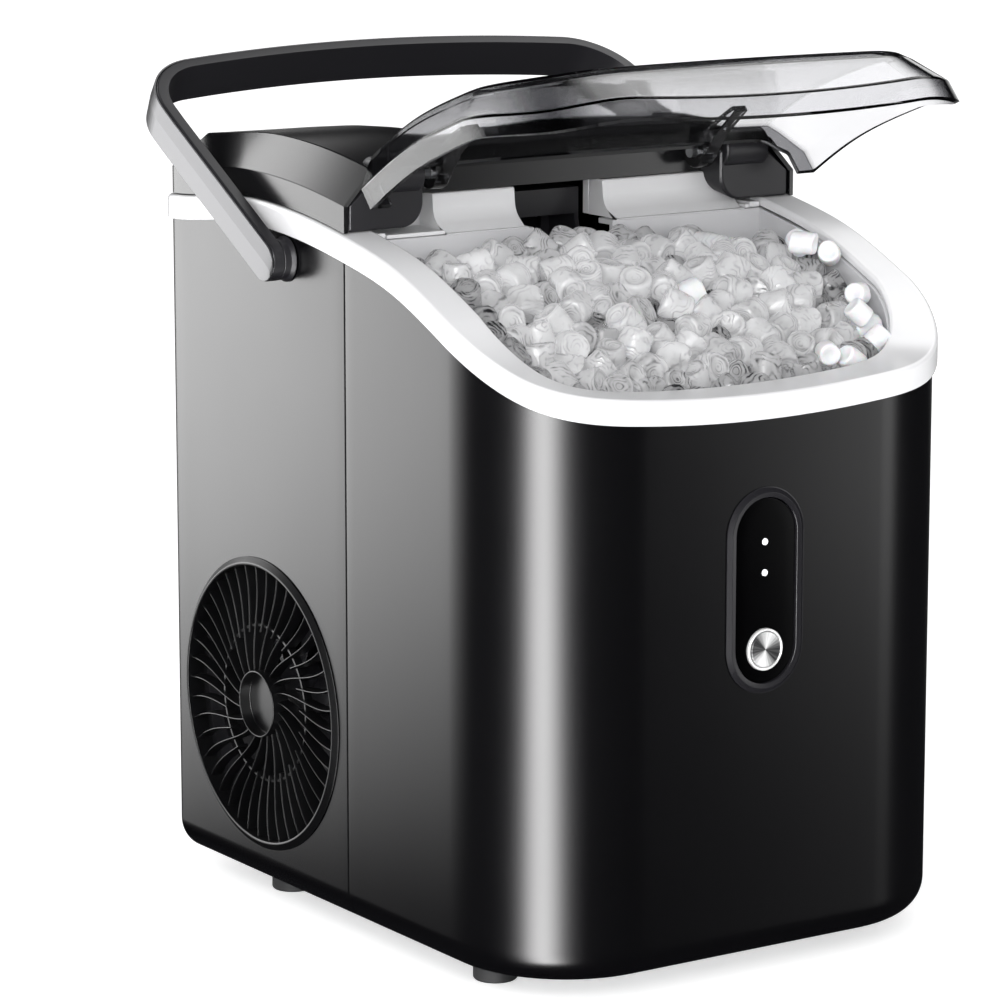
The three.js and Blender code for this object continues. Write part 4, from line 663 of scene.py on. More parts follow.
RUN_REAR = side_run(HALF_DEPTH) + HALF_WIDTH
RIM_STOPS = [
    (0.0, RIM_FRONT),
    (RUN_CORNER_START, RIM_CORNER_START),
    ((RUN_CORNER_START + RUN_CORNER_END) / 2, RIM_CORNER_MIDDLE),
    (RUN_CORNER_END, RIM_CORNER_END),
    (side_run((CORNER_Y + SEAM_Y) / 2), RIM_MID_SIDE),
    (side_run(SEAM_Y), RIM_SEAM),
    (side_run(SEAM_Y + (REAR_CORNER_Y - SEAM_Y) * 0.3), RIM_SHOULDER),
    (side_run(SEAM_Y + (REAR_CORNER_Y - SEAM_Y) * 0.6), RIM_CREST),
    (side_run(REAR_CORNER_Y), RIM_REAR),
    (RUN_REAR, RIM_REAR),
]


def rim_height(distance):
    """Height of the trim's upper edge at a distance along the outline from the middle of the front."""
    s = min(abs(distance), RUN_REAR)
    i = min(len(RIM_STOPS) - 2, sum(1 for at, _ in RIM_STOPS if at <= s) - 1)

    def slope(k):
        if k in (0, len(RIM_STOPS) - 1):
            return 0.0
        return (RIM_STOPS[k + 1][1] - RIM_STOPS[k - 1][1]) / (RIM_STOPS[k + 1][0] - RIM_STOPS[k - 1][0])

    (s0, z0), (s1, z1) = RIM_STOPS[i], RIM_STOPS[i + 1]
    t = (s - s0) / (s1 - s0)
    ends = (2 * t**3 - 3 * t**2 + 1) * z0 + (3 * t**2 - 2 * t**3) * z1
    return ends + (s1 - s0) * ((t**3 - 2 * t**2 + t) * slope(i) + (t**3 - t**2) * slope(i + 1))


def side_height(y):
    """The same curve read in side view."""
    if y >= CORNER_Y:
        return rim_height(side_run(min(y, REAR_CORNER_Y)))
    turn = math.asin(min(1.0, (CORNER_Y - y) / FRONT_RADIUS))
    return rim_height(RUN_CORNER_END - FRONT_RADIUS * turn)


def front_stations(start, half=HALF_WIDTH, front=HALF_DEPTH, radius=FRONT_RADIUS, sides=12, corner=28):
    """Stations from the left side at y = start, round both front corners, to the right side."""
    centre_y = radius - front
    quarter = []
    for y in steps(start, centre_y, sides):
        share = (start - y) / (start - centre_y)
        at = side_run(start) + (RUN_CORNER_END - side_run(start)) * share
        quarter.append(Station(half, y, 1.0, 0.0, at))
    for turn in steps(0.0, math.pi / 2, corner)[1:]:
        c, s = math.cos(turn), math.sin(turn)
        at = RUN_CORNER_END - FRONT_RADIUS * turn
        quarter.append(Station(half - radius + radius * c, centre_y - radius * s, c, -s, at))
    for share in steps(1.0, 0.0, 8)[1:]:
        quarter.append(Station((half - radius) * share, -front, 0.0, -1.0, RUN_CORNER_START * share))
    left = [s._replace(x=-s.x, nx=-s.nx) for s in quarter]
    return left + quarter[-2::-1]


def rear_stations(start, sides=16, corner=6):
    """Stations from the right side at y = start, round both rear corners, to the left side."""
    half = [Station(HALF_WIDTH, y, 1.0, 0.0, side_run(y)) for y in steps(start, REAR_CORNER_Y, sides)]
    for turn in steps(0.0, math.pi / 2, corner)[1:]:
        c, s = math.cos(turn), math.sin(turn)
        x = HALF_WIDTH - REAR_RADIUS + REAR_RADIUS * c
        half.append(Station(x, REAR_CORNER_Y + REAR_RADIUS * s, c, s, side_run(REAR_CORNER_Y)))
    half.append(Station(0.0, HALF_DEPTH, 0.0, 1.0, RUN_REAR))
    return half + [s._replace(x=-s.x, nx=-s.nx) for s in half[-2::-1]]


def full_loop():
    return front_stations(SEAM_Y) + rear_stations(SEAM_Y)[1:-1]


def inset(station, depth, height):
    """A point inset from a station, as (x, y, z). Behind the front it stays inside the inset rectangle."""
    depth += station.sink
    x = station.x - station.nx * depth
    y = station.y - station.ny * depth
    if station.y >= REAR_CORNER_Y - BASE_LIP:
        reach = HALF_WIDTH - depth
        x = max(-reach, min(reach, x))
        y = min(y, HALF_DEPTH - depth)
    return x, y, height


def trim_width(station):
    share = unit((abs(station.run) - RUN_CORNER_START) / (RUN_CORNER_END - RUN_CORNER_START))
    return TRIM_FRONT_WIDTH + (TRIM_SIDE_WIDTH - TRIM_FRONT_WIDTH) * eased(share)


def ring_at(station, section):
    return [placed(*inset(station, depth, height)) for depth, height in section]


# ---------------------------------------------------------------- shells, trim and base


def shell_section(station):
    """A flat lip under the base, a round bottom edge and an upright wall, with softened edges."""
    top = rim_height(station.run) - TRIM_FLANGE - CLEARANCE
    inner_top = top - 1.0
    return rounded([
        (BASE_LIP, FOOT_HEIGHT, 0.4, 2),
        (0.0, FOOT_HEIGHT, BASE_FILLET, 14),
        (0.0, top, 0.5, 2),
        (WALL, inner_top, 0.3, 2),
        (WALL, FOOT_HEIGHT + WALL, BASE_FILLET - WALL, 6),
        (BASE_LIP, FOOT_HEIGHT + WALL, 0.3, 2),
    ])


def with_soft_ends(stations, along):
    """Two more stations at each open end, sunk a little, so that the shells' joint has soft edges."""
    first, last = stations[0], stations[-1]

    def at_joint(station):
        return station._replace(sink=0.45), station._replace(y=station.y + along * 0.12, sink=0.13)

    return [*at_joint(first), first._replace(y=first.y + along * 0.45), *stations[1:-1],
            last._replace(y=last.y + along * 0.45), *reversed(at_joint(last))]


def stadium_outline(width, height, centre_z):
    radius = width / 2
    straight = height / 2 - radius
    top = [(radius * math.cos(a), centre_z + straight + radius * math.sin(a)) for a in steps(0, math.pi, 32)]
    bottom = [(-x, 2 * centre_z - z) for x, z in top]
    return top + bottom


def rectangle_outline(x0, x1, z0, z1, radius):
    return rounded([(x0, z0, radius), (x1, z0, radius), (x1, z1, radius), (x0, z1, radius)], 6)


def inlet_box(half, tall, radius, y0, y1):
    outline = rectangle_outline(INLET_X - half, INLET_X + half, INLET_Z - tall, INLET_Z + tall, radius)
    return extruded("Y", outline, y0, y1)


def front_wrap():
    stations = with_soft_ends(front_stations(SEAM_Y - CLEARANCE), -1)
    shell = skin([ring_at(s, shell_section(s)) for s in stations])
    opening = stadium_outline(PANEL_WIDTH - 2 * CLEARANCE, PANEL_HEIGHT - 2 * CLEARANCE, PANEL_Z)
    shell = carved(shell, extruded("Y", opening, -HALF_DEPTH - CUT_OUT, -HALF_DEPTH + CUT_IN))
    finished(shell, "front_wrap", "gloss_black", replaces=("front_shell",))


def vent_cutters():
    """Level slots in the right side and the back, where warm air is drawn through."""
    cutters = []
    for row in range(VENT_ROWS):
        z = FAN_Z + (row - (VENT_ROWS - 1) / 2) * VENT_PITCH
        low, high = z - VENT_HALF_HIGH, z + VENT_HALF_HIGH
        side = rectangle_outline(FAN_Y - VENT_SIDE_HALF, FAN_Y + VENT_SIDE_HALF, low, high, VENT_END)
        cutters.append(extruded("X", side, HALF_WIDTH - CUT_IN, HALF_WIDTH + CUT_OUT))
        if row >= VENT_ROWS // 2:
            low, high = low + VENT_REAR_RISE, high + VENT_REAR_RISE
            rear = rectangle_outline(-VENT_REAR_HALF, VENT_REAR_HALF, low, high, VENT_END)
            cutters.append(extruded("Y", rear, HALF_DEPTH - CUT_IN, HALF_DEPTH + CUT_OUT))
    return cutters


def rear_wrap():
    stations = with_soft_ends(rear_stations(SEAM_Y + CLEARANCE), 1)
    shell = skin([ring_at(s, shell_section(s)) for s in stations])
    behind = HALF_DEPTH - CUT_IN, HALF_DEPTH + CUT_OUT
    holes = (
        round_bar("X", (0, FAN_Y, FAN_Z), FAN_OPENING + 1, -HALF_WIDTH - CUT_OUT, CUT_IN - HALF_WIDTH, 128),
        round_bar("Y", (DRAIN_X, 0, DRAIN_Z), DRAIN_HOLE, *behind, 40),
        inlet_box(INLET_WIDTH / 2, INLET_HEIGHT / 2, 1.0, *behind),
        round_bar("X", (0, PIVOT_Y, PIVOT_Z), HANDLE_PIN + CLEARANCE, -150, 150, 24),
    )
    finished(carved(shell, *holes, *vent_cutters()), "rear_wrap", "gloss_black", replaces=("rear_shell",))


def trim_section(station):
    """A skirt over the shell's edge, a round shoulder and a top face with a rolled inner edge."""
    top = rim_height(station.run)
    width = trim_width(station)
    return [(depth, top + drop) for depth, drop in rounded([
        (-TRIM_PROUD, -TRIM_HEIGHT, 0.6, 3),
        (-TRIM_PROUD, 0.0, 2.0, 8),
        (width, 0.0, 1.6, 6),
        (width, -TRIM_FLANGE, 0.4, 2),
        (TRIM_SKIRT - TRIM_PROUD, -TRIM_FLANGE, 0.0),
        (TRIM_SKIRT - TRIM_PROUD, -TRIM_HEIGHT, 0.4, 2),
    ])]


def trim_band():
    band = skin([ring_at(s, trim_section(s)) for s in full_loop()], loop_along=True)
    finished(band, "trim_band", "white_gloss", replaces=("trim_ring",))


def rubber_feet():
    x, y = HALF_WIDTH - 24.0, HALF_DEPTH - 58.3
    names = ("foot_front_left", "foot_front_right", "foot_rear_left", "foot_rear_right")
    for name, (side, end) in zip(names, ((-1, -1), (1, -1), (-1, 1), (1, 1))):
        foot = turned("Z", (side * x, end * y, 0), softened([
            (0, 0.5), (4.5, 0.5), (5.0, 0.0), (9.0, 0.0, 1.2), (9.0, FOOT_HEIGHT - CLEARANCE, 0.5),
            (3.0, FOOT_HEIGHT - CLEARANCE), (3.0, FOOT_HEIGHT + 4.5), (0, FOOT_HEIGHT + 4.5),
        ]), 40)
        finished(foot, name.replace("foot", "rubber_foot"), "rubber_black", replaces=(name,))


# ---------------------------------------------------------------- basin, back panel and basket


def basin_loop():
    """Stations round the basin: the front U, closed by a straight rear wall."""
    y = BASIN_REAR_Y + TRIM_SIDE_WIDTH
    at = side_run(BASIN_REAR_Y)
    ends = [Station(HALF_WIDTH, y, 1.0, 1.0, at), Station(-HALF_WIDTH, y, -1.0, 1.0, at)]
    return front_stations(BASIN_REAR_Y - 32.0) + ends


def basin_ring(station):
    width = trim_width(station)
    top = rim_height(station.run) - TRIM_FLANGE - 2 * CLEARANCE
    inner = width + 1.0
    outer = inner - BASIN_WALL
    floor, under, draft = BASIN_FLOOR, BASIN_FLOOR - BASIN_WALL, BASIN_DRAFT
    section = rounded([
        (inner + draft + BASIN_FLAT, floor, 0),
        (inner + draft, floor, BASIN_FILLET, 8),
        (inner, top, 0.6, 2),
        (width - BASIN_LIP, top, 0),
        (width - BASIN_LIP, top - BASIN_LIP_THICK, 0),
        (outer, top - BASIN_LIP_THICK, 0),
        (outer + draft, under, BASIN_FILLET, 6),
        (outer + draft + BASIN_FLAT, under, 0),
    ])
    return [placed(*BASIN_MIDDLE, floor), *ring_at(station, section), placed(*BASIN_MIDDLE, under)]


def white_basin():
    tub = skin([basin_ring(s) for s in basin_loop()], loop_along=True)
    reach = CHUTE_HALF + 2 * CLEARANCE
    notch = rectangle_outline(-reach, reach, CHUTE_FRONT_Z - 4, ABOVE_ALL, 3.0)
    tub = carved(tub, extruded("Y", notch, BASIN_REAR_Y - 15, BASIN_REAR_Y + 30))
    finished(tub, "white_basin", "liner_grey", replaces=("basin",))


def rear_liner():
    """The panel behind the basin: a sloping field and an end rib on each side of the chute.

    The left field ends short of its rib and leaves a recess.
    """
    bottom = side_height(BASIN_REAR_Y) - TRIM_FLANGE - CLEARANCE
    wall_y = BACK_TOP_Y + BACK_DEEP
    field_y = wall_y - BACK_DECK - 0.5
    parts = []
    for side, outer in zip((-1, 1), BACK_OUTER):
        profile = rounded([
            (BACK_FOOT_Y, bottom, 0), (BACK_FOOT_Y, BACK_FOOT, 2.0, 4), (BACK_CREASE_Y, BACK_CREASE, 9.0, 8),
            (BACK_TOP_Y, BACK_TOP, 1.0, 3), (field_y, BACK_TOP, 0), (field_y, bottom, 0),
        ])
        across = steps(BACK_CHUTE, outer, 6)
        parts.append(skin([[placed(side * x, y, z) for y, z in profile] for x in across]))
        rib = rectangle_outline(BACK_FOOT_Y, field_y, bottom, BACK_RIB_TOP, 0.8)
        inside = BACK_RIB - BACK_RIB_THICK
        parts.append(extruded("X", rib, *sorted((side * BACK_RIB, side * inside))))
        deck = rectangle_outline(*sorted((side * BACK_RIB, side * BACK_CHUTE)), bottom, BACK_TOP, 0.5)
        parts.append(extruded("Y", deck, wall_y - BACK_DECK, wall_y))
        ends = sorted((side * (inside - 0.5), side * (outer + 0.5)))
        sill = rectangle_outline(*ends, bottom, bottom + 1.5, 0.4)
        parts.append(extruded("Y", sill, BACK_FOOT_Y, field_y))
    finished(merged(*parts), "rear_liner", "liner_white", replaces=("back_panel",), bevel=0.3)


def ice_tray():
    """The drained tray under the ice."""
    floor = BASIN_FLOOR + CLEARANCE
    rings = []
    for station in basin_loop():
        inner = trim_width(station) + TRAY_GAP
        outer = inner + TRAY_WALL
        flat = inner + TRAY_DRAFT + TRAY_FLAT
        section = rounded([
            (flat, floor, 0), (inner + TRAY_DRAFT, floor, TRAY_FILLET, 6),
            (inner, TRAY_TOP, 0.6, 2), (outer, TRAY_TOP, 0.6, 2),
            (outer + TRAY_DRAFT, floor + TRAY_WALL, TRAY_FILLET, 6), (flat, floor + TRAY_WALL, 0),
        ])
        rings.append([placed(*BASIN_MIDDLE, floor), *ring_at(station, section),
                      placed(*BASIN_MIDDLE, floor + TRAY_WALL)])
    tray = skin(rings, loop_along=True)
    slots = []
    for x in steps(-SLOT_REACH, SLOT_REACH, 4):
        outline = rectangle_outline(x - SLOT_HALF, x + SLOT_HALF, SLOT_FRONT_Y, SLOT_REAR_Y, 2.5)
        slots.append(extruded("Z", outline, BASIN_FLOOR - 8, BASIN_FLOOR + 7))
    tray = carved(tray, *slots, crossing=True)
    finished(tray, "ice_tray", "clear_plastic", "basket", replaces=("ice_basket",))


# ---------------------------------------------------------------- rear cover and hinge blocks


def cover_top(x, y):
    across = min(1.0, abs(x) / COVER_DISH_HALF)
    dip = COVER_DISH * math.cos(across * math.pi / 2) ** 2 * eased(unit(y / (HALF_DEPTH * 0.6)))
    return side_height(y) + COVER_TOP - dip


def rear_lid_cover():
    """The fixed cover behind the lid: a thin shell whose sides lean in to a gently dished top.

    Notches leave room for the lid's arms, and a wall behind the hinge closes the hollow.
    """
    rings = []
    for station in rear_stations(SEAM_Y, sides=20, corner=8):
        base = rim_height(station.run) + 2 * CLEARANCE
        edge = inset(station, COVER_EDGE_IN, 0)[:2]
        roof = cover_top(*edge)
        side = rounded([
            (0.0, base, 0), (0.0, base + COVER_BAND, 0.8, 3),
            (COVER_EDGE_IN, roof, 1.2, 4), (COVER_EDGE_IN + 12, roof, 0),
        ])
        spine_y = min(station.y, COVER_SPINE_Y)
        rings.append(ring_at(station, side[:-1]) + roof_points(edge, spine_y, COVER_SHARES, cover_top))
    cover = thickened(skin(rings, loop_round=False, caps=False), COVER_WALL)
    reach = HINGE_EYE + 1.5
    notches = []
    for _, side in SIDES:
        middle = side * (ARM_INNER + ARM_THICK / 2)
        outline = rectangle_outline(middle - 5, middle + 5, HINGE_Z - reach, ABOVE_ALL, 1.0)
        notches.append(extruded("Y", outline, SEAM_Y - 10, HINGE_Y + reach))
    foot, front, back = BACK_TOP + CLEARANCE, COVER_FRONT_Y, COVER_FRONT_Y + 2
    front_wall = []
    for x in steps(-COVER_FRONT_HALF, COVER_FRONT_HALF, 24):
        top = cover_top(x, SEAM_Y) - 1.0
        outline = (front, foot), (front, top), (back, top), (back, foot)
        front_wall.append([placed(x, y, z) for y, z in outline])
    cover = merged(carved(cover, *notches), skin(front_wall))
    finished(cover, "rear_lid_cover", "cover_black", replaces=("rear_cover",), bevel=0.5)


def knuckle_bars():
    """Round bars under the cover's front edge, on the line of the hinge."""
    for word, side in SIDES:
        start, end = sorted((side * KNUCKLE_INNER, side * KNUCKLE_OUTER))
        bar = turned("X", (0, HINGE_Y, HINGE_Z), softened([
            (0, start), (KNUCKLE_RADIUS, start, 1.5), (KNUCKLE_RADIUS, end, 1.5), (0, end),
        ]), 40)
        finished(bar, "knuckle_" + word, "satin_black")


def hinge_blocks():
    """Each block fills the front end of the cover on one side and carries the lid's pin."""
    wall = WALL + CLEARANCE
    roof = cover_top(HALF_WIDTH - COVER_EDGE_IN, SEAM_Y) - wall
    for word, side in SIDES:
        rings = []
        for share in (0.0, 0.02, 0.06, 0.3, 0.6, 1.0):
            y = SEAM_Y + 0.2 + (BLOCK_DEEP - 0.2) * share
            sink = 1.2 * max(0.0, 1 - share / 0.06) ** 2
            base = side_height(y) + 2 * CLEARANCE + sink
            section = rounded([
                (BLOCK_INNER + sink, base, 10.0, 10),
                (HALF_WIDTH - wall - sink, base, 1.0, 3),
                (HALF_WIDTH - wall - sink, base + COVER_BAND - 1, 1.0, 3),
                (HALF_WIDTH - COVER_EDGE_IN - 2 - sink, roof - sink, 1.0, 3),
                (BLOCK_INNER + sink, roof - sink, 1.5, 3),
            ])
            rings.append([placed(x, y, z) for x, z in section])
        block = skin(rings)
        if side < 0:
            block = mirrored(block)
        finished(block, "hinge_housing_" + word, "satin_black", replaces=("hinge_block_" + word,))


# ---------------------------------------------------------------- lid


def opened(bm):
    """Swings a piece of the lid from its shut place to the pose it was modelled for."""
    pin = placed(0, HINGE_Y, HINGE_Z)
    turn = Matrix.Rotation(-math.radians(LID_OPEN), 4, "X")
    return moved(bm, Matrix.Translation(pin) @ turn @ Matrix.Translation(-pin))


def lid_top(x, y):
    across = x / LID_HALF
    return side_height(y) + LID_TOP + LID_CROWN * (1 - across * across)


def lid_ring(station, shrink=0.0):
    """Half a section of the lid, from its lower edge up over the chamfer to the middle."""
    base = rim_height(station.run) + LID_SEAT

    def at(depth):
        depth += shrink
        return station.x - station.nx * depth, station.y - station.ny * depth

    chamfer, edge = at(LID_CHAMFER_IN), at(LID_EDGE_IN)
    side = rounded([
        (0.0, base, 0),
        (0.0, base + LID_BAND, 2.5, 5),
        (LID_CHAMFER_IN, lid_top(*chamfer) - LID_CHAMFER_DROP, 2.5, 5),
        (LID_EDGE_IN, lid_top(*edge), 3.0, 5),
        (LID_EDGE_IN + 12, lid_top(*edge), 0),
    ])
    ring = [placed(*at(depth), height - shrink * min(1.0, depth / LID_EDGE_IN))
            for depth, height in side[:-1]]
    spine_y = max(station.y, LID_SPINE_Y)
    return ring + roof_points(edge, spine_y, LID_SHARES, lambda x, y: lid_top(x, y) - shrink)


def mark_painted_shade_and_dark_plastic(bm, amount):
    """Stores the share of dark at each point, worked out by amount(x, y, z) on the machine's plan: painted
    shade on the lid, dark plastic round the arms' pins.
    """
    layer = bm.verts.layers.float.new("bend")
    for vert in bm.verts:
        x, y, z = vert.co / MM
        vert[layer] = unit(amount(x, y + STAND_FORWARD, z))


def lid_painted_shade(x, y, z):
    """Painted shade: dark round the front corners and along the rear end, beside the hinge."""
    across, ahead = abs(x) - (LID_HALF - LID_RADIUS), -y - (LID_FRONT - LID_RADIUS)
    rear = 1.0 - (LID_REAR_Y - y) / 5.0
    if across < 0 or ahead < 0:
        return rear
    outer = unit((math.hypot(across, ahead) - LID_RADIUS + 16.0) / 8.0)
    return outer * math.sin(2 * math.atan2(ahead, across)) ** 3


def clear_lid():
    """The see-through lid: one moulded shell with a rolled lip round its open rear end."""
    stations = front_stations(LID_REAR_Y, LID_HALF, LID_FRONT, LID_RADIUS, sides=16, corner=20)
    rings = [lid_ring(s) for s in stations]
    first = [lid_ring(stations[0], shrink) for shrink in (LID_FLANGE, 5.0, 1.0)]
    last = [lid_ring(stations[-1], shrink) for shrink in (1.0, 5.0, LID_FLANGE)]
    shell = thickened(skin(first + rings + last, loop_round=False, caps=False), LID_WALL)
    # Painted shade round the lid's front corners and along its rear end.
    mark_painted_shade_and_dark_plastic(shell, lid_painted_shade)
    finished(opened(shell), "clear_lid", "smoke_clear", "lid", replaces=("lid",), bevel=0.35)


def lid_arms():
    """Clear arms, dark round the pin: an eye on each pin and a tongue under the lid's top."""
    def under(y):
        return lid_top(ARM_INNER, y) - LID_WALL - CLEARANCE

    for word, side in SIDES:
        eye = [(HINGE_Y + HINGE_EYE * math.cos(a), HINGE_Z + HINGE_EYE * math.sin(a))
               for a in steps(-0.6 * math.pi, 0.5 * math.pi, 24)]
        outline = eye + [(LID_REAR_Y - LID_WALL - CLEARANCE, under(LID_REAR_Y) - 1)]
        outline += [(y, under(y)) for y in steps(LID_REAR_Y - 6, ARM_TIP_Y, 6)]
        outline += [(ARM_TIP_Y, under(ARM_TIP_Y) - 3), (-18, HINGE_Z - HINGE_EYE * 0.6)]
        arm = extruded("X", outline, *sorted((side * ARM_INNER, side * (ARM_INNER + ARM_THICK))))
        arm = carved(arm, round_bar("X", (0, HINGE_Y, HINGE_Z), HINGE_PIN + CLEARANCE, -120, 120, 24))
        mark_painted_shade_and_dark_plastic(arm, lambda x, y, z: (22.0 - math.hypot(y - HINGE_Y, z - HINGE_Z)) / 10.0)
        node = "lid_arm_" + word
        finished(opened(arm), "lid_bracket_" + word, "smoke_clear", "lid", replaces=(node,), bevel=0.5)


# ---------------------------------------------------------------- handle


def leaned(bm):
    """Sets a piece of the handle, built flat, on its pivots and leans it back."""
    turn = Matrix.Rotation(math.radians(HANDLE_LEAN), 4, "X")
    stand = Matrix.Translation(Vector((0, STAND_FORWARD, 0)) * MM)
    return moved(bm, Matrix.Translation(placed(0, PIVOT_Y, PIVOT_Z)) @ turn @ stand)


def handle_path(outward):
    """Points along the handle's U in its own plane: x across the machine, y along the arms."""
    half = HANDLE_OUTER - outward
    bend = HANDLE_CORNER - outward
    points = [(half, -HANDLE_HALF * math.cos(a)) for a in steps(0.1, math.pi / 2, 8)]
    points += [(half, y) for y in steps(0.0, HANDLE_REACH - HANDLE_CORNER, 10)[1:]]
    for turn in steps(0, math.radians(80), 20)[1:]:
        y = HANDLE_REACH - HANDLE_CORNER + bend * math.sin(turn)
        points.append((half - bend + bend * math.cos(turn), y))
    (x0, y0), y1 = points[-1], HANDLE_REACH + HANDLE_ARCH - outward
    for t in steps(0, 1, 14)[1:]:
        points.append((x0 * (1 - t), y0 + (y1 - y0) * (1 - (1 - t) ** 2)))
    return points + [(-x, y) for x, y in points[-2::-1]]


def handle_strip(outer, inner, crown, narrower, edge):
    """A strip between two offsets of the U with half-round ends.

    Its outer face falls off by crown to one side and by half of that to the other.
    """
    outside, inside = handle_path(outer), handle_path(inner)
    rings = []
    for (x0, y0), (x1, y1) in zip(outside, inside):
        share = unit((y0 - HANDLE_REACH * 0.7) / (HANDLE_REACH * 0.3))
        half = HANDLE_HALF + (HANDLE_BAR_HALF - HANDLE_HALF) * share - narrower
        half *= math.sqrt(max(0.0, 1 - (min(0.0, y0) / HANDLE_HALF) ** 2))
        thick = inner - outer
        section = rounded([
            (crown, -half, edge, 3), (thick, -half, 0.2, 2), (thick, half, 0.2, 2),
            (crown * 0.5, half, edge, 3), (0.0, half * 0.15, 0.0),
        ])
        rings.append([
            placed(x0 + (x1 - x0) * d / thick, y0 + (y1 - y0) * d / thick, w + HANDLE_BAR_LIFT * share)
            for d, w in section
        ])
    return skin(rings)


def handle_end(side, start, end):
    a, b = (start, end) if side > 0 else (-end, -start)
    profile = softened([(0, a), (HANDLE_HALF, a, 0.8), (HANDLE_HALF, b, 0.8), (0, b)])
    return turned("X", (0, 0, 0), profile, 48)


def handle():
    outer = HANDLE_SKIN + CLEARANCE
    body = handle_strip(outer, outer + HANDLE_BAR, 0.1, 0.0, 0.8)
    ends = [handle_end(side, HANDLE_INNER, HANDLE_OUTER - outer) for side in (-1, 1)]
    body = leaned(merged(body, *ends))
    finished(body, "handle_grip", "satin_black", "handle", replaces=("handle_frame",))
    band = leaned(handle_strip(0.0, HANDLE_SKIN, 0.6, 0.5, 0.15))
    finished(band, "handle_band", "silver_lacquer", "handle", replaces=("handle_skin",), crease=2.5)


def handle_bosses():
    for word, side in SIDES:
        boss = turned("X", (0, PIVOT_Y, PIVOT_Z), softened([
            (0, HALF_WIDTH - 8), (HANDLE_PIN, HALF_WIDTH - 8), (HANDLE_PIN, HALF_WIDTH + 0.3),
            (HANDLE_BOSS + 1.2, HALF_WIDTH + 0.3, 0.3), (HANDLE_BOSS, HALF_WIDTH + 2.4, 0.8),
            (HANDLE_BOSS, HANDLE_INNER - CLEARANCE, 0.4),
            (HANDLE_PIN, HANDLE_INNER - CLEARANCE), (HANDLE_PIN, HANDLE_OUTER - 1.6), (0, HANDLE_OUTER - 1.6),
        ]), 48)
        if side < 0:
            boss = mirrored(boss)
        finished(boss, "handle_boss_" + word, "satin_black", replaces=("handle_pivot_" + word,))


# ---------------------------------------------------------------- fan grille


def swirl(share):
    return -FAN_SWEEP * (1 - share) ** 2 + FAN_HUMP * math.sin(share * math.pi)


def fan_vane(angle, from_radius, to_radius):
    """One S-curved vane with a rounded front edge."""
    pieces = 14 if from_radius < FAN_HUB + 1 else 8
    half = VANE_THICK / 2
    flank = [(half * 0.3, -0.06), (half * 0.8, -0.7), (half * 1.2, -VANE_DEEP)]
    section = [(-w, deep) for w, deep in reversed(flank)] + [(0, 0)] + flank
    middle = []
    for radius in steps(from_radius, to_radius, pieces):
        share = min(1.0, (radius - FAN_HUB) / (FAN_OPENING - FAN_HUB))
        turn = math.radians(angle + swirl(share))
        middle.append(Vector((radius * math.cos(turn), radius * math.sin(turn))))
    rings = []
    for i, spot in enumerate(middle):
        ahead = (middle[min(i + 1, pieces)] - middle[max(i - 1, 0)]).normalized()
        across = Vector((-ahead.y, ahead.x))
        rings.append([Vector((*(spot + across * w), deep)) * MM for w, deep in section])
    return skin(rings)


def on_left_side(bm):
    """Turns a piece built facing +Z, centred on the fan, to face out of the left side."""
    turn = Matrix(((0, 0, -1), (1, 0, 0), (0, 1, 0))).to_4x4()
    moved(bm, Matrix.Translation(placed(-HALF_WIDTH, FAN_Y, FAN_Z)) @ turn)
    bmesh.ops.recalc_face_normals(bm, faces=bm.faces)
    return bm


def fan_grille():
    def lathe(profile, segments):
        return turned("Z", (0, STAND_FORWARD, 0), profile, segments)

    rim = lathe(softened([
        (FAN_OPENING, -6), (FAN_OPENING + 0.8, -6), (FAN_OPENING + 0.8, CLEARANCE), (FAN_FLANGE, CLEARANCE),
        (FAN_FLANGE, 0.5, 0.2), (FAN_OPENING + 1.0, 2.1, 0.9), (FAN_OPENING, 1.9, 0.3), (FAN_OPENING, -6),
    ]), 160)
    hub = lathe(softened([
        (0, -VANE_DEEP), (FAN_HUB, -VANE_DEEP), (FAN_HUB, FAN_HUB_PROUD, 0.3),
        (FAN_HUB - 0.7, FAN_HUB_PROUD, 0.2), (FAN_HUB - 1.0, -2.2, 0.4), (0, -1.8),
    ]), 72)
    ring = lathe([(FAN_MID - 0.5, -5), (FAN_MID + 0.5, -5), (FAN_MID + 0.5, -1.4), (FAN_MID - 0.5, -1.4),
                  (FAN_MID - 0.5, -5)], 96)
    pitch = 360 / FAN_VANES
    vanes = []
    for i in range(FAN_VANES):
        vanes.append(fan_vane(i * pitch, FAN_HUB - 0.5, FAN_OPENING + 0.4))
        vanes.append(fan_vane((i + 0.5) * pitch, FAN_MID - 2.5, FAN_OPENING + 0.4))
    grille = on_left_side(merged(rim, hub, ring, *vanes))
    finished(grille, "swirl_grille", "vane_black", replaces=("fan_grille",))


# ---------------------------------------------------------------- control panel


def stadium_ring(inward, along):
    """Points round the panel's outline, inset by inward, at a depth behind the shell's face."""
    straight = PANEL_HEIGHT / 2 - PANEL_WIDTH / 2
    reach = PANEL_WIDTH / 2 - inward
    points = []
    for end in (1, -1):
        for turn in steps(0, math.pi, 36):
            angle = turn + (math.pi if end < 0 else 0)
            points.append(placed(reach * math.cos(angle), -HALF_DEPTH + along,
                                 PANEL_Z + end * straight + reach * math.sin(angle)))
    return points


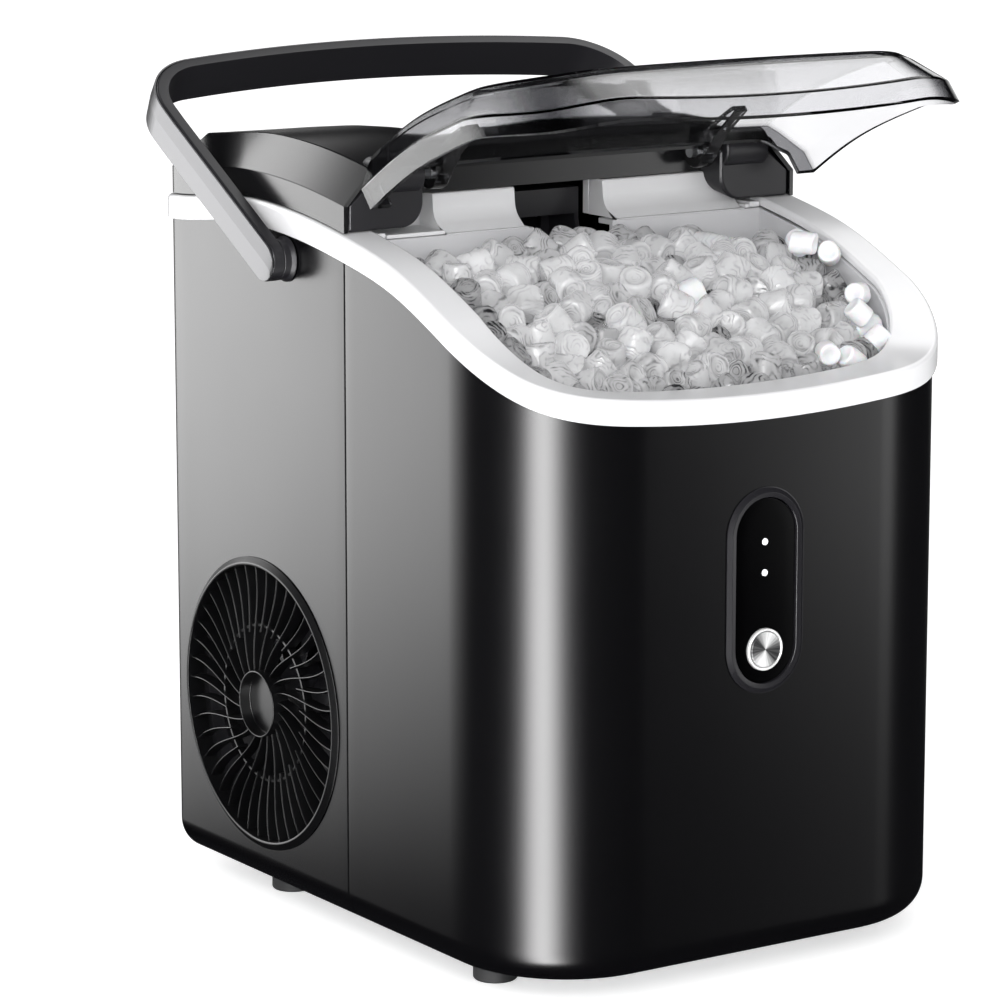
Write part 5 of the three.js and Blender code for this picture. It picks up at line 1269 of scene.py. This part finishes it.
def bezel_and_glass():
    bezel = skin([stadium_ring(inward, along) for inward, along in rounded([
        (0.0, -CLEARANCE, 0), (0.3, -0.35, 0.1, 2), (2.1, -PANEL_PROUD - 0.2, 0.3, 4),
        (PANEL_BORDER, -PANEL_PROUD, 0.4, 4), (PANEL_BORDER, 6.0, 0), (2 * CLEARANCE, 6.0, 0),
        (2 * CLEARANCE, -CLEARANCE, 0),
    ])], loop_along=True)
    finished(bezel, "panel_bezel", "panel_ring", replaces=("control_bezel",))
    inner = PANEL_BORDER + CLEARANCE
    glass = skin([stadium_ring(inward, along) for inward, along in rounded([
        (inner + 6, 1.8, 0), (inner, 1.8, 0), (inner, -0.2, 0.35, 3), (inner + 6, -0.2, 0),
    ])])
    holes = [
        round_bar("Y", (0, 0, height), radius + CLEARANCE, *GLASS_CUT, segments)
        for height, radius, segments in (
            (BUTTON_Z, RING_RADIUS, 64), *((height, LED_RADIUS, 24) for height in LED_HEIGHTS),
        )
    ]
    finished(carved(glass, *holes), "panel_glass", "panel_black", replaces=("control_glass",))


def lights_and_button():
    for word, height in zip(("upper", "lower"), LED_HEIGHTS):
        lens = turned("Y", (0, -HALF_DEPTH, height), softened([
            (0, -0.55), (LED_RADIUS * 0.7, -0.5, 0.3), (LED_RADIUS, -0.2, 0.2), (LED_RADIUS, 5), (0, 5),
        ]), 24)
        finished(lens, "lens_" + word, "lit_lens", replaces=("light_" + word,))
    ring = turned("Y", (0, -HALF_DEPTH, BUTTON_Z), softened([
        (CAP_RADIUS + 0.3, 5), (CAP_RADIUS + 0.3, -PANEL_PROUD + 0.4),
        (CAP_RADIUS + 0.7, -PANEL_PROUD - 0.2, 0.25), (RING_RADIUS, -PANEL_PROUD + 0.2, 0.4),
        (RING_RADIUS, 5), (CAP_RADIUS + 0.3, 5),
    ]), 96)
    finished(ring, "steel_ring", "bright_steel", replaces=("button_ring",))
    cap = turned("Y", (0, -HALF_DEPTH, BUTTON_Z), softened([
        (0, -PANEL_PROUD + 0.25), (CAP_RADIUS * 0.6, -PANEL_PROUD, 3.0),
        (CAP_RADIUS - 0.45, -PANEL_PROUD - 0.3, 0.3), (CAP_RADIUS, -PANEL_PROUD + 0.1, 0.3),
        (CAP_RADIUS, 2.5), (2.4, 2.5), (2.4, 5), (0, 5),
    ]), 96)
    finished(cap, "steel_button", "spun_steel", "button", replaces=("button",))


# ---------------------------------------------------------------- ice


def heap_top(x, y):
    """Height of the heap: it slopes down to the front, and leaves the hinge room for the basket's lift."""
    share = unit((y - HEAP_FRONT_Y) / HEAP_SLOPE_RUN)
    ripple = HEAP_RIPPLE * noise.noise(Vector((x * 0.035, y * 0.035, 4.0)))
    right = 0.07 * max(0.0, x - 20.0) * share
    under_hinge = HEAP_UNDER_HINGE * unit((abs(x) - 50.0) / 10.0) * unit((y + 30.0) / 10.0)
    return HEAP_LOW + HEAP_RISE * (1.0 - (1.0 - share) ** 1.9) - right - under_hinge + ripple


def wall_room(x, y):
    """Distance to the basin's wall, and the direction away from it."""
    middle = HALF_WIDTH - FRONT_RADIUS
    across, ahead = abs(x) - middle, -y - (HALF_DEPTH - FRONT_RADIUS)
    side = 1.0 if x > 0 else -1.0
    if across > 0 and ahead > 0:
        reach = math.hypot(across, ahead)
        turn = math.atan2(ahead, across) / (math.pi / 2)
        width = TRIM_SIDE_WIDTH + (TRIM_FRONT_WIDTH - TRIM_SIDE_WIDTH) * turn + 2.0
        return FRONT_RADIUS - width - reach, (-side * across / reach, ahead / reach)
    room_side = HALF_WIDTH - TRIM_SIDE_WIDTH - 2.5 - abs(x)
    room_front = HALF_DEPTH - TRIM_FRONT_WIDTH - 2.0 + y
    if room_side < room_front:
        return room_side, (-side, 0.0)
    return room_front, (0.0, 1.0)


def settled_places(draw):
    """Centres of the nuggets: scattered under the heap's surface and pushed apart until they hardly touch."""
    places = []
    while len(places) < NUGGET_COUNT:
        x, y = draw.uniform(-HEAP_HALF, HEAP_HALF), draw.uniform(HEAP_FRONT_Y, HEAP_REAR_Y)
        if wall_room(x, y)[0] > NUGGET_RADIUS * 0.8:
            places.append(Vector((x, y, heap_top(x, y) - NUGGET_RADIUS - HEAP_DEEP * draw.random())))
    apart = 2 * NUGGET_RADIUS
    for _ in range(HEAP_PASSES):
        tree = KDTree(len(places))
        for index, spot in enumerate(places):
            tree.insert(spot, index)
        tree.balance()
        for index, spot in enumerate(places):
            for _, other, _ in tree.find_range(spot, apart):
                gap = spot - places[other]
                distance = gap.length
                if other != index and 1e-4 < distance < apart:
                    spot += gap * (0.45 * (apart - distance) / distance)
        for spot in places:
            room, (nx, ny) = wall_room(spot.x, spot.y)
            if room < NUGGET_RADIUS:
                spot.x += nx * (NUGGET_RADIUS - room)
                spot.y += ny * (NUGGET_RADIUS - room)
            spot.y = min(spot.y, HEAP_REAR_Y)
            top = heap_top(spot.x, spot.y) - NUGGET_RADIUS
            spot.z = max(top - HEAP_DEEP, min(top, spot.z))
    return places


def nugget_shape(draw):
    """One short, slightly uneven cylinder with rounded rims and hollow ends."""
    radius, half = draw.uniform(6.0, 7.1), draw.uniform(5.8, 8.0)
    bm = turned("Z", (0, STAND_FORWARD, 0), softened([
        (0.0, -half * 0.86), (radius * 0.5, -half * 0.9), (radius * 0.8, -half, 0.8),
        (radius, -half * 0.84, 1.2), (radius * 1.03, 0.0), (radius, half * 0.84, 1.2),
        (radius * 0.8, half, 0.8), (radius * 0.5, half * 0.9), (0.0, half * 0.86),
    ], 1), 16)
    seed = Vector((draw.uniform(0, 50), draw.uniform(0, 50), draw.uniform(0, 50)))
    for vert in bm.verts:
        vert.co *= 1 + 0.13 * noise.noise(vert.co * 130 + seed)
    own = bm.verts.layers.float_vector.new("own_place")
    for vert in bm.verts:
        vert[own] = vert.co / (radius * MM)
    # Layers for the painted shade, filled in by add_nugget, and for a random tone.
    bm.verts.layers.float.new("dusk")
    bm.verts.layers.float.new("tone")
    return as_mesh(bm, "nugget")


def add_nugget(bm, draw, shapes, spot, size):
    """Drops a turned copy of a shape at spot, with painted shade near the heap's border and below its
    surface.
    """
    turn = Euler([draw.uniform(0, 2 * math.pi) for _ in range(3)]).to_matrix().to_4x4()
    mesh = draw.choice(shapes).copy()
    mesh.transform(Matrix.Translation(placed(*spot)) @ turn @ Matrix.Scale(size, 4))
    x, y, z = spot
    # Painted shade: the stored amount grows near the basin's walls and the heap's rear edge, and with depth
    # under the heap's surface.
    border = 0.8 - min(wall_room(x, y)[0], -2.0 - y) / 30.0
    deep = (heap_top(x, y) - NUGGET_RADIUS - z) / 14.0
    dusk = min(1.0, max(0.0, border, deep) + draw.uniform(0.0, 0.12))
    for layer, amount in (("dusk", dusk), ("tone", draw.random())):
        mesh.attributes[layer].data.foreach_set("value", [amount] * len(mesh.vertices))
    bm.from_mesh(mesh)
    bpy.data.meshes.remove(mesh)


def ice_heap():
    draw = random.Random(7)
    shapes = [nugget_shape(draw) for _ in range(NUGGET_SHAPES)]
    clear, cloudy = bmesh.new(), bmesh.new()
    for spot in settled_places(draw):
        heap = cloudy if draw.random() < CLOUDY_SHARE else clear
        add_nugget(heap, draw, shapes, spot, draw.uniform(0.92, 1.06))
    for spot in TOP_NUGGETS:
        add_nugget(cloudy, draw, shapes, spot, TOP_NUGGET_SIZE)
    for mesh in shapes:
        bpy.data.meshes.remove(mesh)
    for word, bm in (("clear", clear), ("cloudy", cloudy)):
        finished(bm, "ice_" + word, word + "_ice", "basket", crease=60.0)


# ---------------------------------------------------------------- back fittings and inner parts


def drain_plug():
    out, stem, ring = HALF_DEPTH + CLEARANCE, DRAIN_HOLE - CLEARANCE, DRAIN_RADIUS + 0.6
    plug = turned("Y", (DRAIN_X, 0, DRAIN_Z), softened([
        (0, HALF_DEPTH - 6), (stem, HALF_DEPTH - 6, 0.4), (stem, out), (DRAIN_RADIUS, out, 0.3),
        (DRAIN_RADIUS, out + 5, 0.8), (DRAIN_RADIUS - 1.5, out + 6, 0.6), (0, out + 5.6),
    ]), 72)
    flutes = []
    for angle in steps(0, 2 * math.pi, DRAIN_FLUTES)[:-1]:
        centre = DRAIN_X + ring * math.cos(angle), 0, DRAIN_Z + ring * math.sin(angle)
        flutes.append(round_bar("Y", centre, 1.1, out + 1, out + 8, 16))
    finished(carved(plug, *flutes), "drain_plug", "satin_black", "drain_cap", replaces=("drain_cap",))


def cord_inlet():
    """The socket for a cord: a flanged shell with three blades inside."""
    half, tall = INLET_WIDTH / 2, INLET_HEIGHT / 2
    mouth = half - INLET_WALL, tall - INLET_WALL, 1.5
    flange = carved(inlet_box(half + 3, tall + 3, 3.0, HALF_DEPTH + CLEARANCE, HALF_DEPTH + 2.5),
                    inlet_box(*mouth, HALF_DEPTH - 3, HALF_DEPTH + 10))
    shell = carved(inlet_box(half - CLEARANCE, tall - CLEARANCE, 1.0, HALF_DEPTH - 18, HALF_DEPTH + 1),
                   inlet_box(*mouth, HALF_DEPTH - 15, HALF_DEPTH + 10))
    finished(merged(flange, shell), "cord_inlet", "satin_black", replaces=("power_inlet",), bevel=0.4)
    blades = [
        moved(inlet_box(1, 2, 0.4, HALF_DEPTH - 15.2, HALF_DEPTH - 4),
              Matrix.Translation((x * MM, 0, z * MM)))
        for x, z in ((-7, -2), (0, 2), (7, -2))
    ]
    finished(merged(*blades), "inlet_blades", "sheet_steel")


INNER_FINISHES = {
    "sheet_steel": ("base_pan", "hinge_pin_left", "hinge_pin_right", "fan_motor", "auger", "gear_motor"),
    "satin_black": ("fan_shroud", "fan_rotor", "ice_outlet", "water_pump"),
    "copper": ("condenser", "suction_pipe", "discharge_pipe"),
    "painted_pot": ("compressor",),
    "foam_grey": ("ice_barrel",),
    "clear_plastic": ("water_tank", "water_hose"),
    "board_green": ("control_board",),
    "rubber_black": tuple(f"compressor_grommet_{number}" for number in range(1, 5)),
}


def inner_parts():
    """The carried nodes get their finishes."""
    for finish, nodes in INNER_FINISHES.items():
        for node in nodes:
            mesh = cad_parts[node].data
            if not mesh.materials:
                mesh.materials.append(FINISHES[finish])
            for index in range(len(mesh.materials)):
                mesh.materials[index] = FINISHES[finish]


# ---------------------------------------------------------------- studio


CAMERA_AT, CAMERA_TURN, CAMERA_DIP, CAMERA_LENS = (-1.01606, -1.47578, 0.52171), 33.74, 11.072, 157.24


def camera():
    """The camera: front left, a little above, with a long lens."""
    turn, dip = math.radians(CAMERA_TURN), math.radians(CAMERA_DIP)
    look = Vector((math.sin(turn) * math.cos(dip), math.cos(turn) * math.cos(dip), -math.sin(dip)))
    data = bpy.data.cameras.new("camera")
    data.lens, data.sensor_width = CAMERA_LENS, 36.0
    data.clip_start, data.clip_end = 0.05, 60.0
    made = shown("camera", data)
    made.location = CAMERA_AT
    made.rotation_euler = look.to_track_quat("-Z", "Y").to_euler()
    bpy.context.scene.camera = made


def soft_light(name, at, toward, width, height, watts):
    """A square lamp that the gloss doesn't mirror."""
    data = bpy.data.lights.new(name, "AREA")
    data.shape = "RECTANGLE"
    data.size, data.size_y = width, height
    data.energy = watts
    made = shown(name, data)
    made.location = at
    made.rotation_euler = (Vector(toward) - Vector(at)).to_track_quat("-Z", "Y").to_euler()
    made.visible_glossy = False
    made.visible_camera = False


def sheet(name, width, height):
    """A flat rectangle."""
    bm = bmesh.new()
    bmesh.ops.create_grid(bm, x_segments=1, y_segments=1, size=0.5)
    bmesh.ops.scale(bm, vec=(width, height, 1), verts=bm.verts)
    return shown(name, as_mesh(bm, name))


def card(name, at, toward, width, height, glow, across, upward):
    """A glowing card that only reflections see, with the stops of its glow across and upward."""
    made = sheet(name, width, height)
    turn = (Vector(toward) - Vector(at)).to_track_quat("Z", "Y").to_matrix().to_4x4()
    made.matrix_world = Matrix.Translation(at) @ turn
    shade = Finish(name, Base_Color=(0, 0, 0), Roughness=1.0, Specular_IOR_Level=0.0, Emission_Strength=glow)
    apart = shade.node("ShaderNodeSeparateXYZ", {}, shade.place())
    across = shade.node("ShaderNodeValToRGB", {"stops": across}, apart.part("X") * (1 / width) + 0.5)
    upward = shade.node("ShaderNodeValToRGB", {"stops": upward}, apart.part("Y") * (1 / height) + 0.5)
    both = shade.node("ShaderNodeVectorMath", {"operation": "MULTIPLY"}, across, upward)
    shade.link("Emission Color", both)
    made.data.materials.append(shade.material)
    made.visible_camera = False
    made.visible_diffuse = False
    made.visible_transmission = False
    made.visible_shadow = False


def pale_floor():
    floor = sheet("floor", 40.0, 40.0)
    pale = Finish("floor_paper", Base_Color=(0.9, 0.9, 0.9), Roughness=0.9, Specular_IOR_Level=0.1,
                  Emission_Color=(1.0, 1.0, 1.0), Emission_Strength=0.55)
    pale.link("Base Color", pale.blend(pale.grain(2.0), (0.9, 0.9, 0.905), (0.92, 0.92, 0.925)))
    floor.data.materials.append(pale.material)
    floor.visible_glossy = False


def white_room():
    """A world that is white to the eye and dark to whatever mirrors it."""
    world = bpy.data.worlds.new("white_room")
    world.use_nodes = True
    bpy.context.scene.world = world
    tree = world.node_tree
    ground = tree.nodes["Background"]
    place = tree.nodes.new("ShaderNodeTexCoord")
    apart = tree.nodes.new("ShaderNodeSeparateXYZ")
    ramp = tree.nodes.new("ShaderNodeValToRGB")
    Finish.fill_ramp(ramp.color_ramp, [(0.15, 1.0), (0.55, 0.65), (1.0, 0.4)])
    ground.inputs["Strength"].default_value = 1.15
    dark = tree.nodes.new("ShaderNodeBackground")
    dark.inputs["Color"].default_value = (0.012, 0.012, 0.0135, 1.0)
    path = tree.nodes.new("ShaderNodeLightPath")
    mirrored_ray = tree.nodes.new("ShaderNodeClamp")
    mix = tree.nodes.new("ShaderNodeMixShader")
    for start, end in (
        (place.outputs["Generated"], apart.inputs[0]), (apart.outputs["Z"], ramp.inputs["Fac"]),
        (ramp.outputs["Color"], ground.inputs["Color"]),
        (path.outputs["Glossy Depth"], mirrored_ray.inputs[0]),
        (mirrored_ray.outputs[0], mix.inputs[0]), (ground.outputs[0], mix.inputs[1]),
        (dark.outputs[0], mix.inputs[2]), (mix.outputs[0], tree.nodes["World Output"].inputs["Surface"]),
    ):
        tree.links.new(start, end)


def studio():
    """A white room: a pale floor, two soft lights from the front left and cards that the gloss mirrors."""
    pale_floor()
    white_room()
    soft_light("key", (-1.3, -0.8, 0.9), (0, 0, 0.2), 1.0, 1.0, 9.0)
    soft_light("fill", (-0.55, -1.0, 0.62), (0.0, -0.03, 0.28), 0.5, 0.4, 4.0)
    card("left_card", (-0.52, 0.63, 0.0), (-0.112, 0.0, 0.16), 0.9, 0.8, 7.5,
         [(0.0, 0.0), (0.13, 0.16), (0.43, 0.48), (0.5, 0.62), (0.54, 0.75), (0.57, 0.8), (0.62, 0.95),
          (0.66, 0.95), (0.76, 0.5), (0.9, 0.1)],
         [(0.28, 0.0), (0.33, 0.2), (0.42, 0.38), (0.51, 0.7), (0.6, 0.88), (0.7, 1.0)])
    card("corner_card", (-0.59, -0.50, 0.04), (-0.095, -0.12, 0.14), 1.0, 1.4, 21.0,
         [(0.2, 0.0), (0.31, 0.1), (0.4, 0.62), (0.5, 1.0), (0.6, 0.62), (0.69, 0.1), (0.8, 0.0)],
         [(0.0, 1.0), (1.0, 1.0)])
    card("front_card", (0.40, -0.72, 0.05), (0.03, -0.14, 0.15), 0.6, 0.8, 2.2,
         [(0.0, 1.0), (0.28, 1.0), (0.34, 0.72), (0.39, 0.35), (0.44, 0.1), (0.49, 0.0)],
         [(0.1, 0.1), (0.28, 0.17), (0.42, 0.4), (0.5, 0.9), (0.6, 1.0)])
    card("upper_left_card", (-0.46, 0.80, 0.75), (-0.108, 0.05, 0.315), 0.6, 0.5, 5.0,
         [(0.0, 0.1), (0.35, 0.3), (0.65, 1.0), (1.0, 1.0)], [(0.0, 1.0), (0.8, 1.0), (1.0, 0.0)])
    card("ceiling_card", (0.44, 0.1, 0.94), (0, 0.05, 0.3), 0.8, 0.8, 2.2,
         [(0.0, 0.0), (0.2, 1.0), (0.8, 1.0), (1.0, 0.0)], [(0.0, 0.0), (0.2, 1.0), (0.8, 1.0), (1.0, 0.0)])
    card("back_card", (0.49, 0.85, 0.5), (0, 0.05, 0.31), 0.8, 0.42, 0.75,
         [(0.0, 0.0), (0.25, 0.5), (0.36, 1.0), (0.42, 0.6), (0.47, 0.1), (0.52, 0.0)],
         [(0.0, 0.0), (0.3, 0.6), (1.0, 1.0)])
    card("rear_card", (0.85, 0.95, 0.2), (0.05, 0.05, 0.15), 1.2, 0.9, 2.0,
         [(0.0, 0.0), (0.2, 0.35), (0.5, 1.0), (0.8, 0.45), (1.0, 0.0)], [(0.2, 0.1), (0.5, 0.6), (0.9, 1.0)])
    bpy.context.scene.view_settings.view_transform = "Standard"


# ---------------------------------------------------------------- assembly

camera()
studio()
front_wrap()
rear_wrap()
trim_band()
rubber_feet()
white_basin()
rear_liner()
ice_tray()
rear_lid_cover()
knuckle_bars()
hinge_blocks()
clear_lid()
lid_arms()
handle()
handle_bosses()
fan_grille()
bezel_and_glass()
lights_and_button()
ice_heap()
drain_plug()
cord_inlet()
inner_parts()
